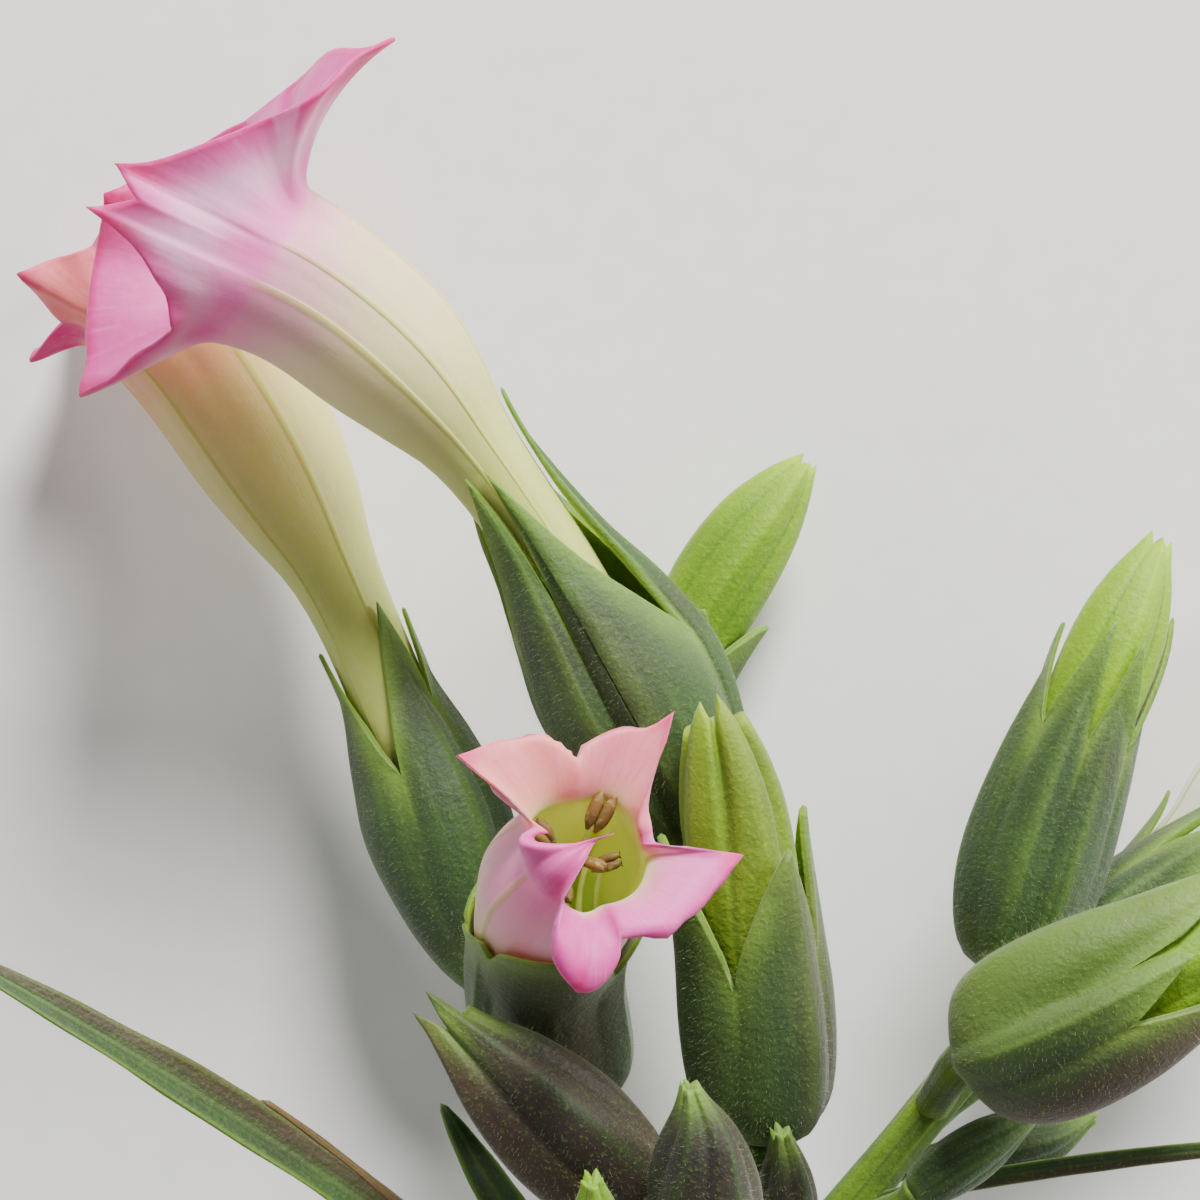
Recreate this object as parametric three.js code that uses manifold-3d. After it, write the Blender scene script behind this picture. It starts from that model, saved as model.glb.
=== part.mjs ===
// Flowering top of a pink-flowered tobacco plant, cut and laid on its back on a flat surface.
// Millimetres, +Z up. The stem's cut end is at low Y, the flowers are at high Y.
// Each bloom is a stalk, a green calyx cup with five teeth and a corolla, round one bent axis.

import * as THREE from "three";
import { mergeVertices } from "three/addons/utils/BufferGeometryUtils.js";
import Module from "manifold-3d";

const wasm = await Module();
wasm.setup();

// Driving dimensions
const PETAL_SKIN = 0.5;
const SEPAL_SKIN = 0.6;
const CLEARANCE = 0.3;
const CALYX_ROOM = 0.42;
const LEAST_WALL = 0.42;
const TOOTH_ROUNDING = 0.65;
const STEM_RADIUS_AT_CUT = 2.6;
const STEM_RADIUS_AT_TOP = 1.5;
const BRANCH_RADIUS_AT_STEM = 1.8;
const BRANCH_RADIUS_AT_TIP = 1.3;

// Mesh fineness
const LOBE_STEPS = 6;
const TOOTH_STEPS = 5;
const ROUND_SIDES = 8;
const LEAST_DETAIL = 0.03;
const SLIVER_PASSES = 4;

const PINK = { color: 0xeeb4cc, roughness: 0.55, metalness: 0 };
const BUD_YELLOW = { color: 0xb9c75a, roughness: 0.6, metalness: 0 };
const LEAF_GREEN = { color: 0x5d7a42, roughness: 0.75, metalness: 0 };
const DARK_GREEN = { color: 0x49553c, roughness: 0.8, metalness: 0 };
const STEM_GREEN = { color: 0x6f8a4a, roughness: 0.75, metalness: 0 };
const DRY_BROWN = { color: 0x6d5a3a, roughness: 0.85, metalness: 0 };
const ANTHER_BROWN = { color: 0x8a6a3c, roughness: 0.7, metalness: 0 };

const sprig = new THREE.Group();
const vector = (place) => new THREE.Vector3(...place);
const radians = THREE.MathUtils.degToRad;
const mix = THREE.MathUtils.lerp;

// A bent axis: a quadratic curve with one fixed side direction, and places around it.
class Axis {
  constructor(foot, bend, top) {
    this.foot = vector(foot);
    this.bend = vector(bend);
    this.top = vector(top);
    const start = this.bend.clone().sub(this.foot);
    const end = this.top.clone().sub(this.bend);
    this.side = start.cross(end).normalize();
  }

  point(t) {
    const place = this.foot.clone().multiplyScalar((1 - t) * (1 - t));
    place.addScaledVector(this.bend, 2 * t * (1 - t));
    return place.addScaledVector(this.top, t * t);
  }

  direction(t) {
    const start = this.bend.clone().sub(this.foot).multiplyScalar(1 - t);
    const end = this.top.clone().sub(this.bend).multiplyScalar(t);
    return start.add(end).normalize();
  }

  // Turn is in degrees round the axis, from the inside of its bend towards the side direction.
  place(t, turn, reach, forward = 0) {
    const along = this.direction(t);
    const inward = this.side.clone().cross(along);
    const place = this.point(t).addScaledVector(along, forward);
    place.addScaledVector(inward, reach * Math.cos(radians(turn)));
    return place.addScaledVector(this.side, reach * Math.sin(radians(turn)));
  }
}

// A smooth value through [position, value] stations.
function smooth(stations, position) {
  const last = stations.length - 1;
  let low = 0;
  while (low < last - 1 && position > stations[low + 1][0]) low += 1;
  const slope = (index) => {
    const before = stations[Math.max(index - 1, 0)];
    const after = stations[Math.min(index + 1, last)];
    return (after[1] - before[1]) / (after[0] - before[0]);
  };
  const [x0, y0] = stations[low];
  const [x1, y1] = stations[low + 1];
  const span = x1 - x0;
  const u = THREE.MathUtils.clamp((position - x0) / span, 0, 1);
  const ease = u * u * (3 - 2 * u);
  const bulge = slope(low) * u * (1 - u) * (1 - u) - slope(low + 1) * u * u * (1 - u);
  return mix(y0, y1, ease) + bulge * span;
}

const steps = (from, to, count) =>
  Array.from({ length: count + 1 }, (_, index) => mix(from, to, index / count));

// One closed body: a stack of rings, closed by a point at each end.
function closedBody(rings, firstPole, lastPole) {
  const sides = rings[0].length;
  const places = [firstPole, ...rings.flat(), lastPole];
  const lastIndex = places.length - 1;
  const corner = (ring, side) => 1 + ring * sides + (side % sides);
  const faces = [];
  for (let side = 0; side < sides; side += 1) {
    faces.push(0, corner(0, side + 1), corner(0, side));
    for (let ring = 0; ring + 1 < rings.length; ring += 1) {
      const a = corner(ring, side);
      const b = corner(ring, side + 1);
      const c = corner(ring + 1, side + 1);
      const d = corner(ring + 1, side);
      faces.push(a, b, c, a, c, d);
    }
    faces.push(lastIndex, corner(rings.length - 1, side), corner(rings.length - 1, side + 1));
  }
  return facingOut(places, faces);
}

function facingOut(places, faces) {
  let volume = 0;
  for (let index = 0; index < faces.length; index += 3) {
    const [a, b, c] = [0, 1, 2].map((corner) => places[faces[index + corner]]);
    volume += a.dot(b.clone().cross(c));
  }
  const geometry = new THREE.BufferGeometry();
  geometry.setAttribute("position", new THREE.Float32BufferAttribute(places.flatMap((p) => p.toArray()), 3));
  geometry.setIndex(volume > 0 ? faces : faces.toReversed());
  return geometry;
}

function toSolid(geometry) {
  const bare = geometry.clone();
  bare.deleteAttribute("normal");
  bare.deleteAttribute("uv");
  const merged = mergeVertices(bare, 1e-4);
  const vertProperties = new Float32Array(merged.attributes.position.array);
  const triVerts = new Uint32Array(merged.index.array);
  return new wasm.Manifold(new wasm.Mesh({ numProp: 3, vertProperties, triVerts }));
}

const inThrees = (values) =>
  Array.from({ length: values.length / 3 }, (_, index) => Array.from(values.slice(index * 3, index * 3 + 3)));

// A cut solid goes back to a geometry without the slivers that a cut leaves.
function fromSolid(solid) {
  const mesh = solid.simplify(LEAST_DETAIL).getMesh();
  const places = inThrees(mesh.vertProperties).map(vector);
  const faces = inThrees(mesh.triVerts);
  for (let pass = 0; pass < SLIVER_PASSES; pass += 1) turnSlivers(places, faces);
  return facingOut(places, faces.flat());
}

// Starts a face's corners at its longest edge, and tells how tall the face stands on that edge.
function onLongestEdge(places, face) {
  const turned = [0, 1, 2].map((first) => [face[first], face[(first + 1) % 3], face[(first + 2) % 3]]);
  const edge = ([a, b]) => places[a].distanceTo(places[b]);
  const [a, b, c] = turned.reduce((best, corners) => (edge(corners) > edge(best) ? corners : best));
  const area = new THREE.Triangle(places[a], places[b], places[c]).getArea();
  return { a, b, c, height: 2 * area / edge([a, b]) };
}

// Turns the long edge between a sliver and its neighbour, so that neither stays a sliver.
function turnSlivers(places, faces) {
  const owner = new Map();
  faces.forEach((face, index) => {
    [0, 1, 2].forEach((corner) => owner.set(`${face[corner]},${face[(corner + 1) % 3]}`, index));
  });
  const turned = new Set();
  faces.forEach((face, index) => {
    const { a, b, c, height } = onLongestEdge(places, face);
    const other = owner.get(`${b},${a}`);
    if (height >= LEAST_DETAIL || turned.has(index) || turned.has(other)) return;
    const d = faces[other].find((corner) => corner !== a && corner !== b);
    if (c === d || owner.has(`${c},${d}`) || owner.has(`${d},${c}`)) return;
    faces[index] = [a, d, c];
    faces[other] = [d, b, c];
    owner.set(`${c},${d}`, other).set(`${d},${c}`, index);
    turned.add(index).add(other);
  });
}

function addPiece(name, geometry, finish) {
  const flat = geometry.index ? geometry.toNonIndexed() : geometry;
  flat.computeVertexNormals();
  const mesh = new THREE.Mesh(flat, new THREE.MeshStandardMaterial(finish));
  mesh.name = name;
  sprig.add(mesh);
}

// Petal-tip and sepal-tip columns: the turn of each column, and how near it is to a tip, 1 to 0.
function tipColumns(tips, stepsEach) {
  const columns = [];
  tips.forEach((tip, index) => {
    const next = tips[(index + 1) % tips.length];
    const sweep = (next.turn - tip.turn + 360) % 360;
    for (let step = 0; step < stepsEach; step += 1) {
      const share = step / stepsEach;
      const nearest = share <= 0.5 ? tip : next;
      const nearness = Math.abs(1 - 2 * share);
      columns.push({ turn: tip.turn + sweep * share, nearness, tip: nearest, gap: tip.gap, share });
    }
  });
  return columns;
}

const evenTips = (firstTurn, ends) => ends.map((end, index) => [firstTurn + index * 360 / ends.length, end]);

const tipsAt = (places) => places.map(([turn, end]) => ({ turn, end }));

// An open corolla: a hollow tube that widens to a throat and spreads into five pointed lobes.
function openCorolla(axis, shape) {
  const columns = tipColumns(shape.lobes, LOBE_STEPS);
  const throat = smooth(shape.radius, 1);
  const [outwards, onwards] = shape.spread;
  const pleat = (column, t) => 1 + shape.pleat * t * Math.cos(2 * Math.PI * column.share);

  const tubeRing = (t, inset) => columns.map((column) => {
    const radius = smooth(shape.radius, t) * pleat(column, t) - inset;
    return axis.place(t, column.turn, radius);
  });

  // The limb runs from the throat's edge to the rim as a bent line in the plane of each column.
  const limbPoint = (column, u) => {
    const start = throat * pleat(column, 1);
    const gap = column.gap ?? shape.gap;
    const nearness = column.nearness ** shape.point;
    const reach = mix(gap[0], column.tip.reach, nearness);
    const forward = mix(gap[1], column.tip.forward, nearness);
    const bendReach = start + outwards;
    const curve = (a, b, c) => a * (1 - u) ** 2 + 2 * b * u * (1 - u) + c * u * u;
    return new THREE.Vector2(curve(start, bendReach, reach), curve(0, onwards, forward));
  };

  const limbRing = (u, inset) => columns.map((column) => {
    const here = limbPoint(column, u);
    const course = limbPoint(column, u + 0.01).sub(limbPoint(column, u - 0.01)).normalize();
    const reach = here.x - course.y * inset;
    const forward = here.y + course.x * inset;
    return axis.place(1, column.turn, reach, forward);
  });

  const outer = steps(shape.from, 1, 7).map((t) => tubeRing(t, 0));
  const spread = steps(0.25, 1, 3);
  const outerLimb = spread.map((u) => limbRing(u, 0));
  const innerLimb = spread.map((u) => limbRing(u, PETAL_SKIN)).reverse();
  const inner = steps(1, shape.floor, 3).map((t) => tubeRing(t, PETAL_SKIN));
  const rings = [...outer, ...outerLimb, ...innerLimb, ...inner];
  return closedBody(rings, axis.point(shape.from), axis.point(shape.floor));
}

// A calyx: a cup with ribs and pointed teeth, open at the top, that keeps clear of its corolla.
function calyxCup(axis, shape, corollaRadius) {
  const columns = tipColumns(tipsAt(shape.tips), TOOTH_STEPS);
  const room = (t) => corollaRadius(t) + CALYX_ROOM;
  const outerRadius = (column, t) => {
    const ribbed = smooth(shape.radius, t) * (1 + shape.rib * Math.cos(2 * Math.PI * column.share));
    return Math.max(ribbed, room(t) + LEAST_WALL);
  };
  const innerRadius = (column, t) => Math.max(outerRadius(column, t) - SEPAL_SKIN, room(t));
  const endOf = (column) => mix(shape.gap, column.tip.end, column.nearness ** TOOTH_ROUNDING);

  const ring = (share, radiusOf, from) => columns.map((column) => {
    const cupPart = Math.min(share, 0.5) * 2;
    const toothPart = Math.max(share - 0.5, 0) * 2;
    const t = mix(mix(from, shape.gap, cupPart), endOf(column), toothPart);
    const spread = shape.spread * toothPart * column.nearness;
    return axis.place(t, column.turn, radiusOf(column, t) + spread);
  });

  const outer = steps(0, 1, 6).map((share) => ring(share, outerRadius, 0));
  const inner = steps(1, 0, 5).map((share) => ring(share, innerRadius, shape.floor));
  return closedBody([...outer, ...inner], axis.point(0), axis.point(shape.floor));
}

// A closed bud: a solid body with folds and a small crown of tips at its end.
function closedBud(axis, shape) {
  const columns = tipColumns(tipsAt(shape.tips), shape.steps ?? 3);
  const ring = (share) => columns.map((column) => {
    const end = mix(shape.gap, column.tip.end, column.nearness);
    const t = mix(shape.from, end, share);
    const fold = 1 + shape.rib * share * Math.cos(2 * Math.PI * column.share);
    return axis.place(t, column.turn, smooth(shape.radius, t) * fold);
  });
  const rings = steps(0, 1, shape.rings ?? 8).map(ring);
  return closedBody(rings, axis.point(shape.from), axis.point(shape.gap - 0.03));
}

// A round tapering limb with flat ends.
function limb(axis, startRadius, endRadius, rings = 6, sides = ROUND_SIDES) {
  const turns = steps(0, 360, sides).slice(0, sides);
  const ring = (t) => turns.map((turn) => axis.place(t, turn, mix(startRadius, endRadius, t)));
  return closedBody(steps(0, 1, rings).map(ring), axis.point(0), axis.point(1));
}

// A narrow leaf blade, folded along its midrib, that ends in a point.
function blade(axis, shape) {
  const section = [[-1, 1, 0], [-0.5, 0.35, 0], [0, 0, 0], [0.5, 0.35, 0], [1, 1, 0],
    [0.5, 0.35, 1], [0, 0, 1], [-0.5, 0.35, 1]];
  const ring = (t) => section.map(([across, rise, over]) => {
    const half = smooth(shape.halfWidth, t);
    const x = across * half;
    const edge = 1 - 0.6 * Math.abs(across);
    const y = shape.fold * rise * half + over * shape.thick * edge;
    const turn = THREE.MathUtils.radToDeg(Math.atan2(y, x)) + shape.roll;
    return axis.place(t, turn, Math.hypot(x, y));
  });
  return closedBody(steps(0, 0.96, 8).map(ring), axis.point(0), axis.point(1));
}

// The stem, and the branch that carries the right-hand group.
const stemAxis = new Axis([0, 0, 2.14], [0.8, 17, 9], [-0.4, 33, 15]);
const branchAxis = new Axis([0.2, 16.7, 8.4], [9.3, 28.8, 12.5], [19, 41.4, 16]);

const grown = (axis, startRadius, endRadius) => {
  const turns = steps(0, 360, ROUND_SIDES).slice(0, ROUND_SIDES);
  const radius = (t) => mix(startRadius, endRadius, t) + CLEARANCE;
  const rings = steps(-0.01, 1.01, 6).map((t) => turns.map((turn) => axis.place(t, turn, radius(t))));
  return toSolid(closedBody(rings, axis.point(-0.01), axis.point(1.01)));
};

const stemRoom = grown(stemAxis, STEM_RADIUS_AT_CUT, STEM_RADIUS_AT_TOP);
const branchRoom = grown(branchAxis, BRANCH_RADIUS_AT_STEM, BRANCH_RADIUS_AT_TIP);

const branchWhole = limb(branchAxis, BRANCH_RADIUS_AT_STEM, BRANCH_RADIUS_AT_TIP);
addPiece("main_stem", limb(stemAxis, STEM_RADIUS_AT_CUT, STEM_RADIUS_AT_TOP), STEM_GREEN);

const largestPart = (solid) =>
  solid.decompose().reduce((best, part) => (part.volume() > best.volume() ? part : best));

const clearOfStems = (geometry) =>
  fromSolid(largestPart(toSolid(geometry).subtract(stemRoom).subtract(branchRoom)));

addPiece("right_branch", fromSolid(largestPart(toSolid(branchWhole).subtract(stemRoom))), STEM_GREEN);

// A stalk runs from a place inside the stem to just short of a bloom's foot, square to it.
function addStalk(name, axis, stalk) {
  const down = axis.direction(0).negate();
  const end = axis.point(0).addScaledVector(down, CLEARANCE);
  const bend = axis.point(0).addScaledVector(down, stalk.lead);
  const line = new Axis(stalk.from, bend.toArray(), end.toArray());
  const body = limb(line, stalk.radius[0], stalk.radius[1], 4);
  addPiece(name, clearOfStems(body), STEM_GREEN);
}

function addFlower(name, spec) {
  const axis = new Axis(...spec.axis);
  const { corolla, calyx, stalk } = spec;
  const corollaRadius = (t) =>
    t < corolla.from ? 0 : smooth(corolla.radius, t) * (1 + Math.abs(corolla.pleat) * t);
  addStalk(`${name}_stalk`, axis, stalk);
  addPiece(`${name}_calyx`, calyxCup(axis, calyx, corollaRadius), LEAF_GREEN);
  addPiece(`${name}_corolla`, openCorolla(axis, corolla), PINK);
  return axis;
}

function addBud(name, spec) {
  const axis = new Axis(...spec.axis);
  const { corolla, calyx, stalk } = spec;
  const corollaRadius = (t) => (t < corolla.from ? 0 : smooth(corolla.radius, t) * (1 + corolla.rib));
  addStalk(`${name}_stalk`, axis, stalk);
  addPiece(`${name}_calyx`, calyxCup(axis, calyx, corollaRadius), LEAF_GREEN);
  addPiece(`${name}_corolla`, closedBud(axis, corolla), BUD_YELLOW);
}

function addYoungBud(name, spec) {
  const axis = new Axis(...spec.axis);
  addStalk(`${name}_stalk`, axis, spec.stalk);
  addPiece(name, closedBud(axis, spec.body), spec.finish ?? DARK_GREEN);
}

// Radius along an open flower's tube and along its calyx, as a share of the axis and millimetres.
const FLOWER_TUBE = [
  [0.04, 0.9], [0.1, 1.6], [0.3, 1.8], [0.44, 2.1], [0.52, 2.8], [0.6, 3.8], [0.7, 4.6], [0.86, 4.8], [1, 5.2],
];
const FLOWER_CUP = [
  [0, 1.3], [0.04, 3.4], [0.1, 5], [0.19, 5.9], [0.27, 5], [0.35, 3.8], [0.45, 3], [0.6, 2.9],
];
const scaled = (stations, factor) => stations.map(([t, radius]) => [t, radius * factor]);

// Upper flower: the largest, nodding to the left at the top of the sprig.
addFlower("upper_flower", {
  axis: [[4.2, 52.9, 15], [-10.9, 84.6, 23.4], [-23.6, 88.8, 25]],
  stalk: { from: [-0.4, 32.6, 14.9], lead: 11, radius: [1, 1.15] },
  calyx: {
    radius: FLOWER_CUP, rib: 0.05, gap: 0.26, floor: 0.025, spread: 0.2,
    tips: [[50, 0.49], [94, 0.485], [172, 0.55], [245, 0.48], [330, 0.46]],
  },
  corolla: {
    radius: FLOWER_TUBE, from: 0.04, floor: 0.5, pleat: 0.03, spread: [1.4, 2.4], gap: [8, 2.5], point: 1.25,
    lobes: [
      { turn: 352, reach: 11.4, forward: 6.7, gap: [5.9, 1.8] },
      { turn: 88, reach: 7.5, forward: 9.8, gap: [9.4, 6.2] },
      { turn: 165, reach: 15.6, forward: -3.9, gap: [8.4, 3.2] },
      { turn: 238, reach: 6.6, forward: 7.8, gap: [7, 5.6] },
      { turn: 308, reach: 10.8, forward: 8, gap: [9.2, 5.6] },
    ],
  },
});

// Left flower: behind the upper one, its limb resting on the ground.
addFlower("left_flower", {
  axis: [[-9.4, 44.9, 11], [-18.3, 74.2, 9.9], [-30.3, 87.9, 8.6]],
  stalk: { from: [0.2, 23.5, 11.6], lead: 6, radius: [1.1, 1.15] },
  calyx: {
    radius: scaled(FLOWER_CUP, 0.76), rib: 0.05, gap: 0.25, floor: 0.025, spread: 0.2,
    tips: [[15, 0.47], [112, 0.5], [160, 0.48], [222, 0.48], [300, 0.46]],
  },
  corolla: {
    radius: FLOWER_TUBE, from: 0.04, floor: 0.5, pleat: 0.03, spread: [1.2, 2.2], gap: [6.9, 2], point: 1.3,
    lobes: [
      { turn: 5, reach: 8.6, forward: 1.9, gap: [6.3, 1.8] },
      { turn: 52, reach: 7.2, forward: 5.6, gap: [6, 3.6] },
      { turn: 118, reach: 5.8, forward: 5, gap: [6.8, 2.4] },
      { turn: 200, reach: 9, forward: 2.5, gap: [7, 2.2] },
      { turn: 292, reach: 8.9, forward: 6.2, gap: [7, 3] },
    ],
  },
});

// Small flower: just opening, its face turned up to the viewer.
const smallFlowerAxis = addFlower("small_flower", {
  axis: [[-4.2, 38.5, 15.5], [-8.6, 48.4, 20], [-3.8, 54.9, 35]],
  stalk: { from: [-0.2, 27.5, 12.9], lead: 5, radius: [0.95, 1.1] },
  calyx: {
    radius: [[0, 1.3], [0.04, 2.9], [0.12, 4.2], [0.25, 4.8], [0.4, 4.9], [0.55, 5], [0.75, 5.3]],
    rib: 0.04, gap: 0.58, floor: 0.03, spread: 0.3,
    tips: [[40, 0.7], [112, 0.68], [184, 0.74], [240, 0.72], [328, 0.7]],
  },
  corolla: {
    radius: [[0.06, 1], [0.12, 2.2], [0.3, 3.2], [0.5, 4], [0.68, 4.7], [0.84, 4.8], [1, 3.9]],
    from: 0.06, floor: 0.5, pleat: 0.03, spread: [0.1, 1.2], gap: [4.2, 0.8], point: 1.2,
    lobes: [
      { turn: 40, reach: 7.6, forward: 5 },
      { turn: 110, reach: 8.8, forward: 2.8 },
      { turn: 188, reach: 8.9, forward: -1.8 },
      { turn: 240, reach: 4.8, forward: 0.8, gap: [4.5, 0.4] },
      { turn: 319, reach: 7.7, forward: 0.2, gap: [4.8, 0.8] },
    ],
  },
});

// Right flower: low behind the right-hand buds, its limb resting on the ground.
addFlower("right_flower", {
  axis: [[24.8, 44.2, 5.7], [32.2, 53.6, 4.7], [45.6, 64.3, 6.5]],
  stalk: { from: [15.2, 36.5, 14.6], lead: 5, radius: [0.95, 1] },
  calyx: {
    radius: scaled(FLOWER_CUP, 0.64), rib: 0.05, gap: 0.3, floor: 0.03, spread: 0.2,
    tips: [[10, 0.5], [82, 0.52], [154, 0.5], [226, 0.54], [298, 0.5]],
  },
  corolla: {
    radius: scaled(FLOWER_TUBE, 0.86), from: 0.04, floor: 0.55, pleat: 0.03,
    spread: [1.2, 2.2], gap: [6.4, 1.6], point: 1.3,
    lobes: [
      { turn: 30, reach: 8.4, forward: 2.4 },
      { turn: 102, reach: 8, forward: 3.4 },
      { turn: 174, reach: 8.6, forward: 1.8 },
      { turn: 246, reach: 8.6, forward: 2.4 },
      { turn: 318, reach: 8.2, forward: 3.2 },
    ],
  },
});

// Buds whose corolla already shows above the calyx.
addBud("centre_bud", {
  axis: [[6.9, 37, 17.8], [6.3, 49.7, 21.5], [3.4, 63, 26]],
  stalk: { from: [0.1, 26, 12.3], lead: 4, radius: [1.1, 1.15] },
  calyx: {
    radius: [[0, 1.3], [0.04, 3.1], [0.12, 4.1], [0.3, 4.4], [0.5, 4.1], [0.65, 3.9], [0.75, 3.9]],
    rib: 0.05, gap: 0.4, floor: 0.03, spread: 0.3,
    tips: [[352, 0.74], [118, 0.7], [182, 0.73], [240, 0.68], [296, 0.68]],
  },
  corolla: {
    radius: [[0.06, 1], [0.15, 2.4], [0.4, 2.9], [0.62, 3.3], [0.78, 3.2], [0.9, 2.2], [1, 1.1]],
    from: 0.06, gap: 0.93, rib: 0.06, tips: evenTips(30, [1, 0.98, 1, 0.97, 0.99]),
  },
});

addBud("back_bud", {
  axis: [[-0.5, 58.7, 5.2], [3.2, 70.2, 4.8], [10, 77.8, 6]],
  stalk: { from: [0.5, 20, 10.2], lead: 20, radius: [0.95, 1] },
  calyx: {
    radius: [[0, 1.2], [0.05, 2.6], [0.18, 3.5], [0.35, 3.6], [0.5, 3.5], [0.7, 3.4]],
    rib: 0.05, gap: 0.3, floor: 0.03, spread: 0.3, tips: evenTips(0, [0.5, 0.46, 0.44, 0.46, 0.46]),
  },
  corolla: {
    radius: [[0.07, 0.9], [0.16, 2.1], [0.36, 2.7], [0.55, 3], [0.75, 2.6], [0.92, 1.5], [1, 0.8]],
    from: 0.07, gap: 0.93, rib: 0.06, tips: evenTips(0, [1, 0.98, 1, 0.98, 0.99]),
  },
});

addBud("tall_bud", {
  axis: [[20.9, 46.8, 18], [23.5, 58.4, 20.5], [30.1, 72.9, 19.5]],
  stalk: { from: [18.7, 41, 15.9], lead: 3, radius: [0.95, 1.1] },
  calyx: {
    radius: [[0, 1.25], [0.04, 2.7], [0.15, 3.8], [0.3, 4.2], [0.5, 3.8], [0.68, 3], [0.85, 2.6]],
    rib: 0.04, gap: 0.57, floor: 0.03, spread: 0.2,
    tips: [[205, 0.81], [241, 0.79], [318, 0.86], [45, 0.8], [130, 0.77]],
  },
  corolla: {
    radius: [[0.06, 0.9], [0.15, 1.9], [0.4, 2.2], [0.65, 2.25], [0.8, 2.1], [0.92, 1.4], [1, 0.7]],
    from: 0.06, gap: 0.95, rib: 0.06, tips: evenTips(0, [1, 0.98, 1, 0.99, 0.99]),
  },
});

addBud("near_bud", {
  axis: [[19.2, 42.9, 23], [24.4, 44.9, 29.5], [38.6, 53.5, 27]],
  stalk: { from: [16.9, 38.7, 15.5], lead: 1.8, radius: [1.1, 1.3] },
  calyx: {
    radius: [[0, 1.4], [0.04, 3.4], [0.13, 4.7], [0.3, 5.3], [0.5, 5.1], [0.66, 4.3], [0.8, 3.6]],
    rib: 0.05, gap: 0.5, floor: 0.03, spread: 0.3,
    tips: [[170, 0.73], [260, 0.8], [320, 0.76], [30, 0.76], [100, 0.8]],
  },
  corolla: {
    radius: [[0.06, 1], [0.15, 2.6], [0.45, 3.2], [0.65, 3.1], [0.8, 2.6], [0.92, 1.6], [1, 0.8]],
    from: 0.06, gap: 0.94, rib: 0.06, tips: evenTips(20, [1, 0.98, 1, 0.99, 0.99]),
  },
});

addBud("low_bud", {
  axis: [[25.9, 46.8, 14], [28.3, 51, 14], [41.2, 56.9, 13]],
  stalk: { from: [16, 37.6, 15], lead: 6, radius: [0.85, 1] },
  calyx: {
    radius: [[0, 1.1], [0.05, 2.3], [0.18, 3], [0.35, 3.2], [0.55, 3], [0.75, 2.6], [0.9, 2.3]],
    rib: 0.05, gap: 0.5, floor: 0.03, spread: 0.3, tips: evenTips(20, [0.82, 0.78, 0.84, 0.8, 0.8]),
  },
  corolla: {
    radius: [[0.07, 0.8], [0.16, 1.7], [0.4, 2], [0.7, 1.9], [0.85, 1.4], [1, 0.6]],
    from: 0.07, gap: 0.95, rib: 0.06, tips: evenTips(0, [1, 0.98, 1, 0.99, 0.99]),
  },
});

// Young closed buds, each one body.
const YOUNG_CROWN = evenTips(0, [1, 0.98, 0.96, 0.98, 1]);
const YOUNG_BODY = [[0, 0.95], [0.08, 1.5], [0.35, 1.9], [0.6, 1.7], [0.85, 0.9], [1, 0.5]];

addYoungBud("striped_bud", {
  axis: [[-0.1, 33.9, 22.4], [-6.5, 39.8, 30], [-13.2, 46.4, 29]],
  stalk: { from: [-0.3, 30.8, 14.1], lead: 3, radius: [1.1, 1.2] },
  body: {
    radius: [[0, 1.3], [0.05, 2.5], [0.2, 3.6], [0.42, 3.8], [0.65, 3], [0.82, 1.9], [1, 1]],
    from: 0, gap: 0.86, rib: 0.12, steps: 4, rings: 9, tips: evenTips(20, [1, 0.94, 0.9, 0.94, 0.98]),
  },
});

addYoungBud("front_bud", {
  axis: [[3, 29.1, 25.5], [3.2, 36.2, 31], [1.9, 42.2, 33]],
  stalk: { from: [0.5, 20.6, 10.4], lead: 3, radius: [1.05, 1.1] },
  body: {
    radius: [[0, 1.2], [0.06, 2.2], [0.25, 3.1], [0.45, 3.2], [0.7, 2.3], [0.88, 1.2], [1, 0.6]],
    from: 0, gap: 0.92, rib: 0.1, tips: evenTips(36, [1, 0.98, 0.96, 0.98, 1]),
  },
});

addYoungBud("thin_bud", {
  axis: [[8, 28, 17], [8.5, 33.6, 19], [7.4, 38.4, 23.2]],
  stalk: { from: [0.4, 23.4, 11.4], lead: 3, radius: [0.9, 0.9] },
  body: { radius: scaled(YOUNG_BODY, 0.95), from: 0, gap: 0.92, rib: 0.1, tips: YOUNG_CROWN },
});

addYoungBud("small_bud", {
  axis: [[-3.4, 27.8, 25], [-3, 33, 31.5], [-3.5, 37, 34]],
  stalk: { from: [0.1, 25.6, 12.2], lead: 3, radius: [0.85, 0.9] },
  body: { radius: YOUNG_BODY, from: 0, gap: 0.92, rib: 0.1, tips: YOUNG_CROWN },
  finish: LEAF_GREEN,
});

addYoungBud("branch_bud_1", {
  axis: [[15.6, 34, 19.8], [18.6, 36.6, 21], [23.2, 39.2, 20]],
  stalk: { from: [11.4, 31.4, 13.4], lead: 2, radius: [0.8, 0.8] },
  body: { radius: scaled(YOUNG_BODY, 0.9), from: 0, gap: 0.92, rib: 0.1, tips: YOUNG_CROWN },
  finish: LEAF_GREEN,
});

addYoungBud("branch_bud_2", {
  axis: [[19.6, 35.8, 13.8], [23, 35.4, 12.8], [27.2, 38.1, 12]],
  stalk: { from: [13.6, 34.2, 14], lead: 2, radius: [0.8, 0.8] },
  body: { radius: scaled(YOUNG_BODY, 0.9), from: 0, gap: 0.92, rib: 0.1, tips: YOUNG_CROWN },
  finish: LEAF_GREEN,
});

// Narrow bract leaves on the stem and the branch.
function addBract(name, axisPlaces, shape, finish) {
  addPiece(name, clearOfStems(blade(new Axis(...axisPlaces), shape)), finish);
}

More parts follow.
